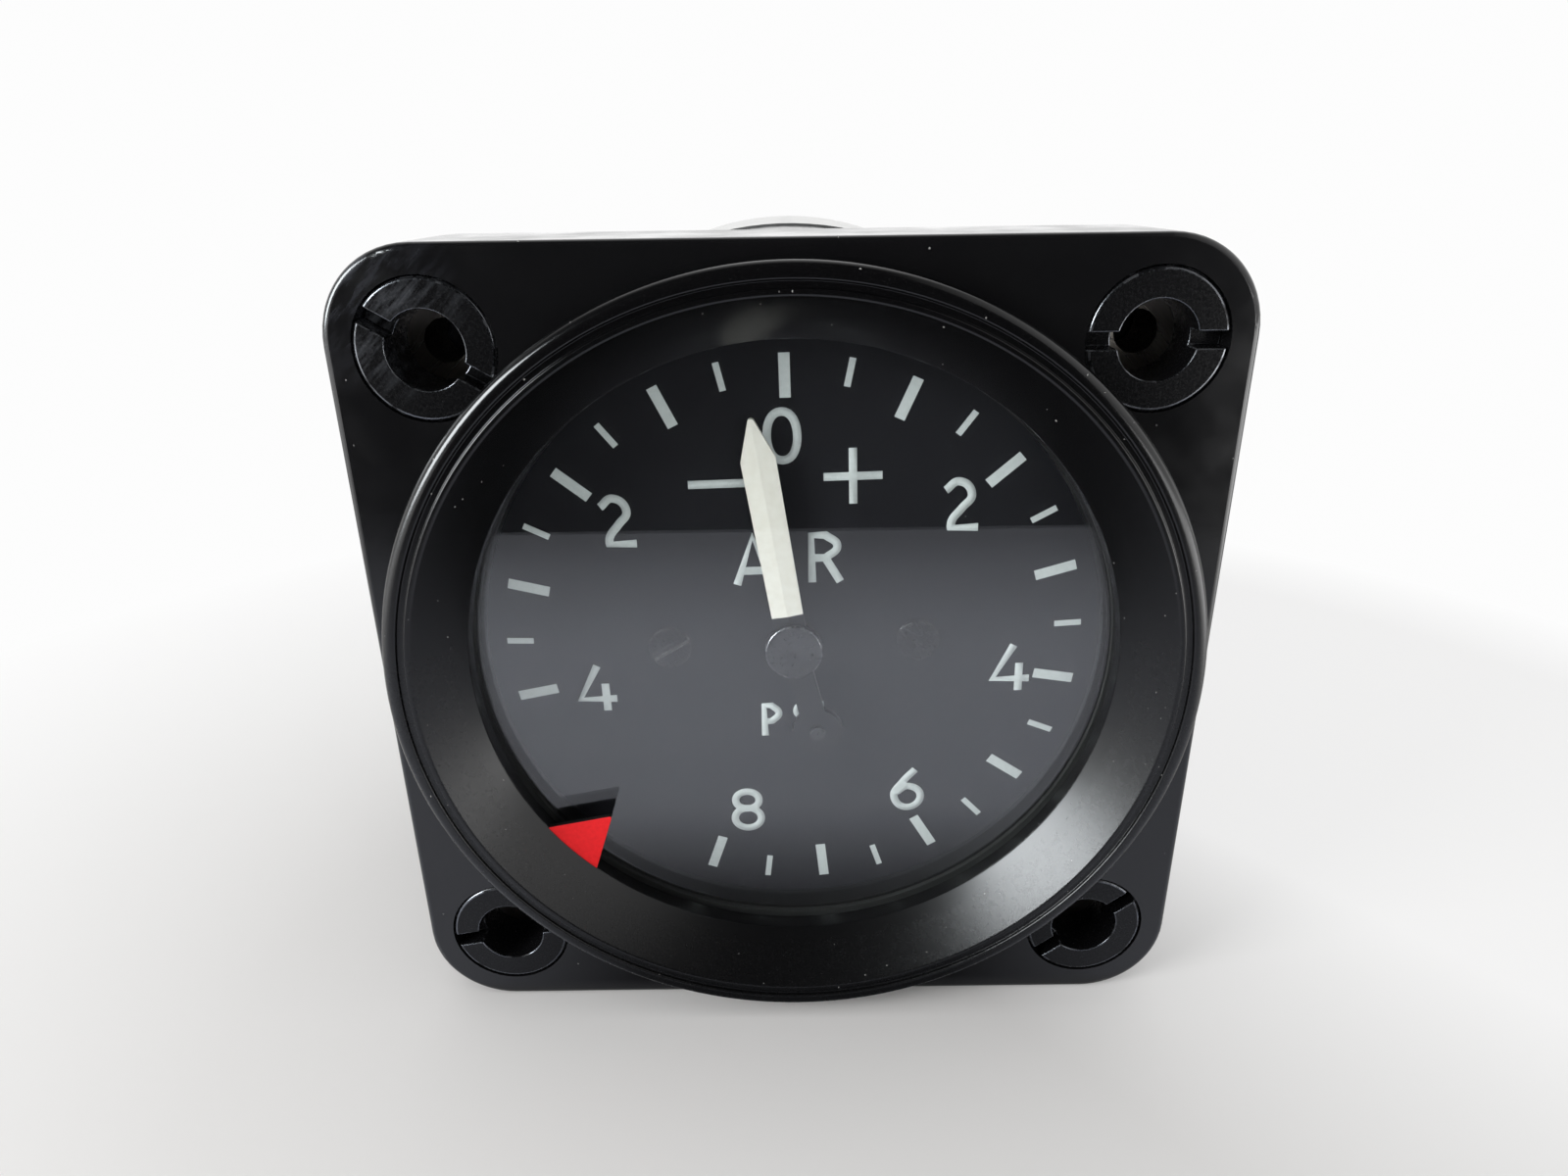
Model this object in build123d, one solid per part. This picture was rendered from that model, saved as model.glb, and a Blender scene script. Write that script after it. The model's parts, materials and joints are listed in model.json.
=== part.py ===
from build123d import *
import os
from math import acos, cos, degrees, pi, radians, sin, sqrt, tan

# Panel-mounted air pressure gauge with a square flange, a round dial and a sealed movement.
# A curved tube straightens as the pressure rises. Its tip pulls a link, the link swings a
# toothed sector, and the sector turns the pinion that carries the pointer.
#
# Frame: the origin is the centre of the flange's front face, on the pointer's axis.
# +X is right and +Z is up as the gauge is read, and +Y runs from the dial into the case.
# Depths are Y values. Angles are in degrees, clockwise from the top of the dial.
# All sizes are in millimetres.

# Clearances, on the radius
running_clearance = 0.03
seat_clearance = 0.05
press_clearance = 0.02

# Mounting holes and bushes
hole_spacing = 47.1
bush_diameter = 9.3
bush_bore = 5.2
bush_slot_width = 1.1
bush_slot_depth = 1.6
bush_edge = 0.2
insert_diameter = 7.0
insert_thread = 3.0
insert_depth = 4.5
insert_recess = 0.3
bush_floor = 1.2
slot_angles = {"top_left": 121, "top_right": 90, "bottom_right": 52, "bottom_left": 80}

# Flange and front case
flange_margin = 6.6
flange_depth = 11.0
flange_corner_radius = 6.4
flange_edge_radius = 0.5
case_shoulder = 2.05
case_wall = 3.5
joint_depth = 36.0

# Bezel
bezel_web = 1.25
bezel_thread_wall = 1.35
bezel_height = 2.9
bezel_overhang = 1.8
bezel_draft = 0.2
bezel_rim_width = 1.2
bezel_rim_radius = 0.75
bezel_crest_radius = 0.25
bezel_groove_width = 0.5
bezel_groove_depth = 0.3
bezel_land_width = 0.4
bezel_lip_depth = 0.64
bezel_lip_edge = 1.3
bezel_lip_radius = 0.25

# Glass, gasket and ring, clamped between the bezel and the case
glass_lip = 2.03
glass_thickness = 1.5
glass_chamfer = 0.2
gasket_thickness = 0.4
gasket_width = 1.9
ring_depth = 1.9
ring_width = 2.2
shoulder_depth = 2.5

# Red limit marker, held in a notch of the bezel's lip in front of the glass
flag_angle = -131.4
flag_apex_angle = 61.0
flag_reach = 4.6
flag_seat = 1.0
flag_thickness = 0.4
flag_tip_radius = 0.15

# Dial
dial_turn = -1.25
dial_overlap = 0.9
dial_edge_gap = 0.3
dial_gap = 0.1
dial_thickness = 0.8
dial_hole = 4.0
dial_screw_spread = 19.3
dial_screw_diameter = 1.8
dial_screw_head = 3.3
dial_screw_head_height = 0.45
dial_screw_reach = 3.4
dial_screw_slots = (60, 125)
screw_slot_width = 0.5
screw_slot_depth = 0.3
post_diameter = 3.6
post_length = 3.6
post_rivet = 2.0

# Pointer
pointer_rest = -9.15
pointer_length = 18.7
pointer_point = 3.5
pointer_width = 2.55
pointer_root_width = 2.35
pointer_sheet = 0.35
pointer_ridge = 0.15
pointer_tip_radius = 0.25
tail_angle = 175.0
tail_length = 7.5
tail_width = 2.0
weight_diameter = 4.0
weight_thickness = 0.35
weight_clearance = 0.3
weight_rivet = 0.9
rivet_head = 1.2
rivet_head_height = 0.25
hub_head = 4.4
hub_head_height = 0.5
hub_tube = 2.2
hub_tube_length = 0.7
hub_cap = 0.3
arbor_tip = 1.0

# Movement plates
plate_thickness = 1.2
plate_spacing = 6.4
plate_left = 13.5
plate_right = 16.2
plate_top = 8.6
plate_bottom = 16.4
plate_corner = 4.0
pillar_diameter = 3.0
pillar_places = [(-10.6, -13.2), (-10.6, 5.4), (13.1, 5.6)]
plate_screw_diameter = 1.6
plate_screw_reach = 3.2
plate_screw_head = 2.8
plate_screw_head_height = 0.8
plate_screw_slots = (0, 30, 60)

# Gears
gear_module = 0.3
pinion_teeth = 14
sector_teeth = 105
teeth_before_mesh = 6
teeth_after_mesh = 11
pressure_angle = 20.0
tooth_addendum = 0.8
tooth_root_gap = 0.25
tooth_backlash = 0.08
flank_steps = 3
pinion_width = 2.0
pinion_start = 1.0

# Pointer arbor and hairspring
arbor_diameter = 1.9
front_journal = 1.4
pivot_diameter = 1.0
end_shake = 0.15
pivot_shortfall = 0.1
collet_diameter = 3.3
collet_length = 1.4
collet_setback = 0.5
spring_strip = 0.15
spring_width = 0.6
spring_pitch = 1.0
spring_half_turns = 7
stud_diameter = 1.2
stud_start = 0.2

# Sector and link
sector_direction = 133.2
sector_thickness = 1.2
sector_inset = 0.4
sector_rim = 2.2
sector_spoke = 2.2
sector_hub = 4.4
sector_arbor_diameter = 1.8
sector_tail_length = 5.0
sector_tail_angle = 98.1
sector_tail_width = 3.2
link_gap = 0.2
link_thickness = 0.6
link_width = 1.8
link_end = 3.2
link_pin_diameter = 1.2
link_pin_head = 2.0
link_pin_head_height = 0.3
link_free_play = 0.22
link_hole_offset = 0.05

# Curved tube, its tip and its socket
tube_gap = 4.7
tube_thickness = 2.4
tube_width = 8.0
tube_wall = 0.35
tube_setback = 5.0
tube_end_angle = 70.0
tip_overhang = 1.0
tip_length = 4.6
tip_pin_inset = 0.8
tip_pin_angle = 4.0
tip_finger = 3.0
tip_finger_corner = 0.6
tip_finger_gap = 0.4
tip_pin_depth = 1.2
socket_width = 9.0
socket_top = 6.2
socket_step = 8.5
socket_foot = 2.5
socket_arm_setback = 4.0
socket_back = 1.0
socket_screw_places = [(0.0, 4.3), (0.0, -5.6)]
socket_screw_diameter = 2.0
socket_screw_reach = 5.0
socket_screw_head = 3.6
socket_screw_head_height = 1.1
socket_screw_slots = (45, 85)
port_diameter = 2.0

# Rear cup and its joint
cup_step = 0.2
cup_wall = 1.8
cup_length = 23.0
cup_floor = 3.0
cup_edge_radius = 1.2
cup_pad_diameter = 22.0
cup_pad_height = 1.0
spigot_length = 8.0
seal_section = 0.96
seal_groove_width = 1.3
seal_setback = 1.0
case_screw_angles = [45, 135, 225, 315]
case_screw_setback = 3.0
case_screw_head = 4.2
case_screw_diameter = 2.0
case_screw_reach = 3.4
case_screw_slot_depth = 0.5
case_screw_sink = 0.12

# Stem and pipe union
stem_diameter = 11.0
collar_diameter = 17.0
collar_thickness = 3.0
washer_thickness = 0.8
stem_thread = 12.0
nut_flats = 17.5
nut_thickness = 5.0
nut_chamfer = 0.8
neck_diameter = 9.6
neck_length = 1.6
union_thread = 11.1
union_length = 9.0
union_cone_angle = 37.0
union_cone_length = 1.6
union_bore = 4.4

# Radii, from the mounting holes inwards
hole_circle = hole_spacing / sqrt(2)
bush_radius = bush_diameter / 2
bush_hole_radius = bush_radius + seat_clearance
flange_size = hole_spacing + 2 * flange_margin
bush_depth = flange_depth - bush_floor
bezel_bore_radius = hole_circle - bush_hole_radius - bezel_web
bezel_thread_radius = bezel_bore_radius - seat_clearance
case_radius = bezel_bore_radius + case_shoulder
works_radius = case_radius - case_wall
glass_radius = bezel_thread_radius - bezel_thread_wall - seat_clearance
seat_radius = glass_radius + seat_clearance
lip_radius = glass_radius - glass_lip
bezel_radius = bezel_thread_radius + bezel_overhang
ring_inner = glass_radius - ring_width
dial_radius = ring_inner + dial_overlap
shoulder_radius = dial_radius + dial_edge_gap
tube_radius = works_radius - tube_gap - tube_thickness / 2
cup_radius = case_radius + cup_step
cup_inner = cup_radius - cup_wall
spigot_radius = cup_inner - seat_clearance

# Depths, from the flange's face backwards
glass_front = bezel_lip_depth + bezel_lip_edge
glass_back = glass_front + glass_thickness
gasket_back = glass_back + gasket_thickness
seat_depth = gasket_back + ring_depth
shoulder_back = seat_depth + shoulder_depth
dial_front = seat_depth + dial_gap
dial_back = dial_front + dial_thickness
pointer_back = dial_front - dial_screw_head_height - weight_clearance - weight_thickness
pointer_front = pointer_back - pointer_sheet
hub_front = pointer_front - hub_head_height
hub_back = pointer_back + hub_tube_length
arbor_front = hub_front + hub_cap
front_plate_front = dial_back + post_length
front_plate_back = front_plate_front + plate_thickness
back_plate_front = front_plate_back + plate_spacing
back_plate_back = back_plate_front + plate_thickness
pinion_front = front_plate_back + pinion_start
pinion_back = pinion_front + pinion_width
sector_front = pinion_front + sector_inset
sector_back = sector_front + sector_thickness
link_front = sector_back + link_gap
link_back = link_front + link_thickness
collet_front = pinion_back + collet_setback
spring_front = collet_front + (collet_length - spring_width) / 2
tube_front = back_plate_back + tube_setback
tube_back = tube_front + tube_width
socket_block_back = tube_back + socket_back
case_screw_depth = joint_depth + case_screw_setback
case_back = joint_depth + cup_length
floor_front = case_back - cup_floor
collar_back = floor_front - washer_thickness
nut_front = case_back + cup_pad_height
nut_back = nut_front + nut_thickness
union_front = nut_back + neck_length
union_back = union_front + union_length

# Gear centres
pinion_pitch_radius = gear_module * pinion_teeth / 2
sector_pitch_radius = gear_module * sector_teeth / 2
mesh_distance = pinion_pitch_radius + sector_pitch_radius
pinion_direction = sector_direction + 180


def at(radius, angle, centre=(0.0, 0.0)):
    """The (x, z) point at a radius and a clock angle from a centre."""
    return (centre[0] + radius * sin(radians(angle)), centre[1] + radius * cos(radians(angle)))


def turned(profile, corners=()):
    """A piece turned about the Y axis from (radius, depth) points, some corners rounded."""
    section = make_face(Polyline(*profile, close=True))
    for point, radius in corners:
        section = fillet(section.vertices().sort_by_distance(Vector(*point))[0], radius)
    return revolve(section, axis=Axis.Y)


def slab(outline, front, thickness):
    """A flat piece: an outline seen from the front, from one depth backwards."""
    return extrude(Plane.XZ.offset(-front) * outline, amount=-thickness)


def rod(diameter, front, length, place=(0.0, 0.0)):
    """A round bar along Y."""
    return slab(Pos(*place) * Circle(diameter / 2), front, length)


def strip(start, end, width):
    """The outline of a bar of one width between two points."""
    line = Line(start, end)
    middle = Pos(line @ 0.5)
    return middle * Rot(0, 0, line.tangent_angle_at(0)) * Rectangle(line.length, width)


def wedge(radius, first, last):
    """A slice of a disc between two clock angles, round the origin of its sketch."""
    arc = CenterArc((0, 0), radius, 90 - first, first - last)
    return make_face([Line((0, 0), arc @ 0), arc, Line(arc @ 1, (0, 0))])


def corner_places():
    """The centre of each mounting hole, with the name of its corner."""
    half = hole_spacing / 2
    return {
        "top_left": (-half, half),
        "top_right": (half, half),
        "bottom_right": (half, -half),
        "bottom_left": (-half, -half),
    }


def slotted_screw(place, seat, head, head_height, shank, reach, slot_angle, forward=True):
    """A slotted screw whose head sits at a depth and whose shank runs on from it."""
    way = -1 if forward else 1
    head_front = seat - head_height if forward else seat
    shank_front = seat if forward else seat - reach
    slot_front = head_front if forward else seat + head_height - screw_slot_depth
    body = rod(head, head_front, head_height, place) + rod(shank, shank_front, reach, place)
    slot = Pos(*place) * Rot(0, 0, 90 + way * slot_angle) * Rectangle(2 * head, screw_slot_width)
    return body - slab(slot, slot_front, screw_slot_depth)


# Gear teeth

def involute(angle):
    return tan(angle) - angle


def tooth(teeth, centre_angle):
    """The (x, z) points of one tooth, clockwise, from its root to its root."""
    pitch_radius = gear_module * teeth / 2
    base = pitch_radius * cos(radians(pressure_angle))
    root = pitch_radius - gear_module * (tooth_addendum + tooth_root_gap)
    tip = pitch_radius + gear_module * tooth_addendum
    half_at_pitch = pi / (2 * teeth) - tooth_backlash / (4 * pitch_radius)
    start = max(base, root)
    flank = [start + (tip - start) * step / flank_steps for step in range(flank_steps + 1)]
    halves = [half_at_pitch + involute(radians(pressure_angle)) - involute(acos(base / r)) for r in flank]
    if root < base:
        flank.insert(0, root)
        halves.insert(0, halves[0])
    rising = [at(r, centre_angle - degrees(half)) for r, half in zip(flank, halves)]
    falling = [at(r, centre_angle + degrees(half)) for r, half in zip(flank, halves)]
    return rising + falling[::-1]


def make_pinion_outline():
    """A full pinion with a gap towards the sector at rest."""
    pitch = 360 / pinion_teeth
    points = []
    for number in range(pinion_teeth):
        points += tooth(pinion_teeth, sector_direction + (number + 0.5) * pitch)
    return make_face(Polyline(*points, close=True))


def make_sector_outline():
    """The toothed sector round its own centre, with a tooth towards the pinion at rest."""
    pitch = 360 / sector_teeth
    root = sector_pitch_radius - gear_module * (tooth_addendum + tooth_root_gap)
    first = pinion_direction - (teeth_before_mesh + 0.5) * pitch
    last = pinion_direction + (teeth_after_mesh + 0.5) * pitch
    points = [(0, 0), at(root, first)]
    for number in range(-teeth_before_mesh, teeth_after_mesh + 1):
        points += tooth(sector_teeth, pinion_direction + number * pitch)
    points.append(at(root, last))
    blank = make_face(Polyline(*points, close=True))
    window_radius = root - sector_rim
    inset = degrees(sector_spoke / window_radius)
    window = wedge(window_radius, first + inset, last - inset) - Circle(sector_hub / 2 + sector_spoke)
    tail_end = at(sector_tail_length, sector_tail_angle)
    tail = strip((0, 0), tail_end, sector_tail_width) + Pos(*tail_end) * Circle(sector_tail_width / 2)
    return blank - window + Circle(sector_hub / 2) + tail


# Places that more than one piece of the movement uses
sector_centre = at(mesh_distance, sector_direction)
tail_pin_place = at(sector_tail_length, sector_tail_angle, sector_centre)
tip_pin_place = at(tube_radius - tip_pin_inset, tube_end_angle + tip_pin_angle)
link_hole_place = (tip_pin_place[0] + link_hole_offset, tip_pin_place[1])
link_pin_hole = link_pin_diameter + 2 * running_clearance
dial_screw_places = [at(dial_screw_spread / 2, side + dial_turn) for side in (-90, 90)]


# Case

def make_front_case():
    """One moulding: square flange, round sleeve, the glass seat and the spigot for the cup."""
    flange = slab(RectangleRounded(flange_size, flange_size, flange_corner_radius), 0, flange_depth)
    flange = fillet(flange.faces().sort_by(Axis.Y)[0].edges(), flange_edge_radius)
    flange = fillet(flange.faces().sort_by(Axis.Y)[-1].edges(), flange_edge_radius)
    sleeve = rod(2 * case_radius, flange_depth, joint_depth - flange_depth)
    spigot = rod(2 * spigot_radius, joint_depth, spigot_length)
    spigot_end = joint_depth + spigot_length
    hollow = turned([
        (0, 0),
        (bezel_bore_radius, 0),
        (bezel_bore_radius, glass_back),
        (seat_radius, glass_back),
        (seat_radius, seat_depth),
        (shoulder_radius, seat_depth),
        (shoulder_radius, shoulder_back),
        (works_radius, shoulder_back),
        (works_radius, spigot_end),
        (0, spigot_end),
    ])
    groove_front = spigot_end - seal_setback - seal_groove_width
    groove = rod(2 * cup_radius, groove_front, seal_groove_width)
    groove -= rod(2 * (cup_inner - seal_section - 2 * press_clearance), groove_front, seal_groove_width)
    case = flange + sleeve + spigot - hollow - groove
    for place in corner_places().values():
        case -= rod(2 * bush_hole_radius, 0, bush_depth, place)
    for angle in case_screw_angles:
        case -= Rot(0, angle, 0) * make_case_screw_blank(press_clearance)
    return case


def make_bush(place, slot_angle):
    """A slotted bush in its blind hole, bored for the panel screw and its thread insert."""
    body = rod(bush_diameter, 0, bush_depth, place)
    body = chamfer(body.faces().sort_by(Axis.Y)[0].edges(), bush_edge)
    body -= rod(bush_bore, 0, bush_depth, place)
    seat = insert_diameter + 2 * press_clearance
    body -= rod(seat, insert_depth, bush_depth - insert_depth, place)
    slot = Pos(*place) * Rot(0, 0, 90 - slot_angle) * Rectangle(2 * bush_diameter, bush_slot_width)
    return body - slab(slot, 0, bush_slot_depth)


def make_thread_inserts():
    """The steel thread insert deep in each bush."""
    length = bush_depth - insert_depth - insert_recess
    rings = [
        rod(insert_diameter, insert_depth, length, place) - rod(insert_thread, insert_depth, length, place)
        for place in corner_places().values()
    ]
    return Compound(children=rings)


def make_bezel():
    """The bezel ring: rounded rim, shallow groove, sloping face and the skirt round the glass."""
    rim_outer = bezel_radius
    rim_inner = bezel_radius - bezel_rim_width
    groove_inner = rim_inner - bezel_groove_width
    face_outer = groove_inner - bezel_land_width
    front = -bezel_height
    groove_floor = front + bezel_groove_depth
    profile = [
        (rim_outer - bezel_draft, 0),
        (rim_outer, front),
        (rim_inner, front),
        (rim_inner, groove_floor),
        (groove_inner, groove_floor),
        (groove_inner, front),
        (face_outer, front),
        (lip_radius, bezel_lip_depth),
        (lip_radius, glass_front),
        (seat_radius, glass_front),
        (seat_radius, glass_back),
        (bezel_thread_radius, glass_back),
        (bezel_thread_radius, 0),
    ]
    bezel = turned(profile, [
        ((rim_outer, front), bezel_rim_radius),
        ((rim_inner, front), bezel_crest_radius),
        ((face_outer, front), bezel_lip_radius),
        ((lip_radius, bezel_lip_depth), bezel_lip_radius),
    ])
    notch_front = bezel_lip_depth - seat_clearance
    return bezel - slab(make_flag_outline(seat_clearance), notch_front, flag_thickness + 2 * seat_clearance)


def make_glass():
    return chamfer(rod(2 * glass_radius, glass_front, glass_thickness).edges(), glass_chamfer)


def make_ring(outer, inner, front, depth):
    return rod(2 * outer, front, depth) - rod(2 * inner, front, depth)


def make_flag_outline(margin):
    """The marker's triangle and seat, seen from the front with its point at the bottom."""
    apex = lip_radius - flag_reach - margin / sin(radians(flag_apex_angle / 2))
    base = lip_radius + flag_seat + margin
    half_base = (base - apex) * tan(radians(flag_apex_angle / 2))
    triangle = make_face(Polyline((0, apex), (half_base, base), (-half_base, base), close=True))
    triangle = fillet(triangle.vertices().sort_by(Axis.Y)[0], flag_tip_radius)
    return Rot(0, 0, -flag_angle) * triangle


def make_limit_flag():
    return slab(make_flag_outline(0), bezel_lip_depth, flag_thickness)


def make_limit_ring():
    """The black ring under the glass that holds the dial down."""
    return make_ring(glass_radius, ring_inner, gasket_back, ring_depth)


def make_rear_cup():
    """The light-alloy cup behind the joint, with a raised pad round the stem."""
    cup = rod(2 * cup_radius, joint_depth, cup_length)
    cup = fillet(cup.faces().sort_by(Axis.Y)[-1].edges(), cup_edge_radius)
    cup += rod(cup_pad_diameter, case_back, cup_pad_height)
    cup -= rod(2 * cup_inner, joint_depth, cup_length - cup_floor)
    cup -= rod(stem_thread + 2 * seat_clearance, floor_front, cup_floor + cup_pad_height)
    mouth = Pos(0, case_screw_depth, cup_radius) * Cylinder(
        case_screw_head / 2 + press_clearance, 2 * case_screw_sink)
    for angle in case_screw_angles:
        cup -= Rot(0, angle, 0) * (make_case_screw_blank(press_clearance) + mouth)
    return cup


def make_case_screw_blank(margin):
    """A countersunk screw, or with a margin its hole, that points at the axis from the top."""
    top = cup_radius - case_screw_sink
    foot = top - case_screw_reach - margin
    shank = case_screw_diameter / 2 + margin
    head = case_screw_head / 2 + margin
    profile = [(0, foot), (shank, foot), (shank, top - (head - shank)), (head, top), (0, top)]
    section = Plane.XZ * make_face(Polyline(*profile, close=True))
    return Pos(0, case_screw_depth, 0) * revolve(section, axis=Axis.Z)


def make_case_screws():
    """The four countersunk screws that hold the cup to the spigot."""
    screw = make_case_screw_blank(0)
    slot = Box(2 * case_screw_head, screw_slot_width, 2 * case_screw_slot_depth)
    screw -= Pos(0, case_screw_depth, cup_radius - case_screw_sink) * slot
    return Compound(children=[Rot(0, angle, 0) * screw for angle in case_screw_angles])


def make_case_seal():
    """The round sealing ring in the spigot's groove."""
    centre = cup_inner - press_clearance - seal_section / 2
    depth = joint_depth + spigot_length - seal_setback - seal_groove_width / 2
    return revolve(Pos(centre, depth) * Circle(seal_section / 2), axis=Axis.Y)


# Dial and pointer

def make_dial():
    dial = rod(2 * dial_radius, dial_front, dial_thickness) - rod(dial_hole, dial_front, dial_thickness)
    for place in dial_screw_places:
        dial -= rod(dial_screw_diameter + 2 * seat_clearance, dial_front, dial_thickness, place)
    return dial


def make_dial_screws():
    return Compound(children=[
        slotted_screw(place, dial_front, dial_screw_head, dial_screw_head_height,
                      dial_screw_diameter, dial_screw_reach, slot_angle)
        for place, slot_angle in zip(dial_screw_places, dial_screw_slots)
    ])


def make_dial_posts():
    """The two posts riveted in the front plate that carry the dial."""
    posts = []
    for place in dial_screw_places:
        post = rod(post_diameter, dial_back, post_length, place)
        post += rod(post_rivet, front_plate_front, plate_thickness, place)
        bore = dial_screw_diameter + 2 * press_clearance
        posts.append(post - rod(bore, dial_back, dial_screw_reach - dial_thickness + seat_clearance, place))
    return Compound(children=posts)


def make_pointer():
    """The pointer: a creased blade, a ring for the hub and a tail with its weight pad."""
    shoulder = pointer_length - pointer_point
    half = pointer_width / 2
    half_root = pointer_root_width / 2
    blade = make_face(Polyline(
        (-half_root, 0), (-half, shoulder), (0, pointer_length),
        (half, shoulder), (half_root, 0), close=True))
    blade = fillet(blade.vertices().sort_by(Axis.Y)[-1], pointer_tip_radius)
    flat = slab(blade, pointer_front - pointer_ridge, pointer_sheet + pointer_ridge)
    crease = make_face(Polyline(
        (-half, pointer_back), (-half, pointer_front), (0, pointer_front - pointer_ridge),
        (half, pointer_front), (half, pointer_back), close=True))
    blade = flat & extrude(crease, amount=pointer_length)
    blade -= rod(hub_head + 2 * seat_clearance, pointer_front - pointer_ridge, pointer_ridge)
    tail_end = at(tail_length, tail_angle)
    flat_parts = Circle(hub_head / 2) + strip((0, 0), tail_end, tail_width)
    flat_parts += Pos(*tail_end) * Circle(weight_diameter / 2)
    sheet = slab(flat_parts, pointer_front, pointer_sheet)
    pointer = blade + sheet
    pointer -= rod(hub_tube + 2 * press_clearance, pointer_front, pointer_sheet)
    pointer -= rod(weight_rivet + 2 * press_clearance, pointer_front, pointer_sheet, tail_end)
    return Rot(0, pointer_rest, 0) * pointer


def weight_place():
    return at(tail_length, tail_angle + pointer_rest)


def make_pointer_weight():
    """The balance weight behind the tail's pad."""
    weight = rod(weight_diameter, pointer_back, weight_thickness, weight_place())
    return weight - rod(weight_rivet + 2 * press_clearance, pointer_back, weight_thickness, weight_place())


def make_weight_rivet():
    head = rod(rivet_head, pointer_front - rivet_head_height, rivet_head_height, weight_place())
    return head + rod(weight_rivet, pointer_front, pointer_sheet + weight_thickness, weight_place())


def make_pointer_hub():
    """The black bush that holds the pointer on the end of its arbor."""
    length = hub_head_height + pointer_sheet + hub_tube_length
    hub = rod(hub_head, hub_front, hub_head_height) + rod(hub_tube, hub_front, length)
    return hub - rod(arbor_tip + 2 * press_clearance, arbor_front, length)


# Movement

def make_plate(front, bearings, screws):
    """A movement plate with its bearing holes and the clearance holes of its screws."""
    width = plate_left + plate_right
    height = plate_top + plate_bottom
    middle = ((plate_right - plate_left) / 2, (plate_top - plate_bottom) / 2)
    plate = slab(Pos(*middle) * RectangleRounded(width, height, plate_corner), front, plate_thickness)
    for place, diameter in bearings:
        plate -= rod(diameter + 2 * running_clearance, front, plate_thickness, place)
    for place, diameter in screws:
        plate -= rod(diameter + 2 * seat_clearance, front, plate_thickness, place)
    return plate


def make_front_plate():
    bearings = [((0, 0), front_journal), (sector_centre, pivot_diameter)]
    screws = [(place, plate_screw_diameter) for place in pillar_places]
    plate = make_plate(front_plate_front, bearings, screws)
    for place in dial_screw_places:
        plate -= rod(post_rivet + 2 * press_clearance, front_plate_front, plate_thickness, place)
    return plate


def make_back_plate():
    bearings = [((0, 0), pivot_diameter), (sector_centre, pivot_diameter)]
    screws = [(place, plate_screw_diameter) for place in pillar_places]
    screws += [(place, socket_screw_diameter) for place in socket_screw_places]
    return make_plate(back_plate_front, bearings, screws)


def make_pillars():
    """The pillars between the plates, tapped at both ends."""
    tapped = plate_screw_reach - plate_thickness + seat_clearance
    bore = plate_screw_diameter + 2 * press_clearance
    pillars = []
    for place in pillar_places:
        pillar = rod(pillar_diameter, front_plate_back, plate_spacing, place)
        pillar -= rod(bore, front_plate_back, tapped, place)
        pillars.append(pillar - rod(bore, back_plate_front - tapped, tapped, place))
    return Compound(children=pillars)


def make_plate_screws(seat, forward):
    return Compound(children=[
        slotted_screw(place, seat, plate_screw_head, plate_screw_head_height,
                      plate_screw_diameter, plate_screw_reach, slot_angle, forward)
        for place, slot_angle in zip(pillar_places, plate_screw_slots)
    ])


def make_pinion_arbor():
    """The pointer's arbor, with the pinion cut in it and a pivot in each plate."""
    body_front = front_plate_back + end_shake
    body_back = back_plate_front - end_shake
    arbor = rod(arbor_tip, arbor_front + seat_clearance, hub_back - arbor_front - seat_clearance)
    arbor += rod(front_journal, hub_back, body_front - hub_back)
    arbor += rod(arbor_diameter, body_front, body_back - body_front)
    arbor += rod(pivot_diameter, body_back, back_plate_back - pivot_shortfall - body_back)
    return arbor + slab(make_pinion_outline(), pinion_front, pinion_width)


def make_collet():
    collet = rod(collet_diameter, collet_front, collet_length)
    return collet - rod(arbor_diameter + 2 * press_clearance, collet_front, collet_length)


def make_hairspring():
    """A flat spiral of half circles whose centres step from side to side."""
    first_radius = collet_diameter / 2 + press_clearance + spring_strip / 2
    spiral = Sketch()
    for number in range(spring_half_turns):
        side = 1 - 2 * (number % 2)
        radius = first_radius + number * spring_pitch / 2
        outer = radius + spring_strip / 2
        ring = Circle(outer) - Circle(radius - spring_strip / 2)
        half_turn = ring & Pos(0, side * outer) * Rectangle(3 * outer, 2 * outer)
        spiral += Pos(-(number % 2) * spring_pitch / 2, 0) * half_turn
    return slab(spiral, spring_front, spring_width)


def spring_end_radius():
    """The outside of the spring's last half turn, where its stud stands."""
    first_radius = collet_diameter / 2 + press_clearance + spring_strip
    last = spring_half_turns - 1
    return first_radius + last * spring_pitch / 2 + (last % 2) * spring_pitch / 2


def make_spring_stud():
    """The post on the back plate that holds the outer end of the hairspring."""
    side = 1 if spring_half_turns % 2 else -1
    place = (side * (spring_end_radius() + press_clearance + stud_diameter / 2), 0)
    front = spring_front - stud_start
    return rod(stud_diameter, front, back_plate_front - front, place)


def make_sector():
    """The sector gear: toothed rim, two spokes, hub and the tail that the link pulls."""
    sector = slab(Pos(*sector_centre) * make_sector_outline(), sector_front, sector_thickness)
    bore = sector_arbor_diameter + 2 * press_clearance
    sector -= rod(bore, sector_front, sector_thickness, sector_centre)
    pin = link_pin_diameter + 2 * press_clearance
    return sector - rod(pin, sector_front, sector_thickness, tail_pin_place)


def make_sector_arbor():
    body_front = front_plate_back + end_shake
    body_back = back_plate_front - end_shake
    front_end = front_plate_front + pivot_shortfall
    back_end = back_plate_back - pivot_shortfall
    arbor = rod(sector_arbor_diameter, body_front, body_back - body_front, sector_centre)
    arbor += rod(pivot_diameter, front_end, body_front - front_end, sector_centre)
    return arbor + rod(pivot_diameter, body_back, back_end - body_back, sector_centre)


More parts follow.
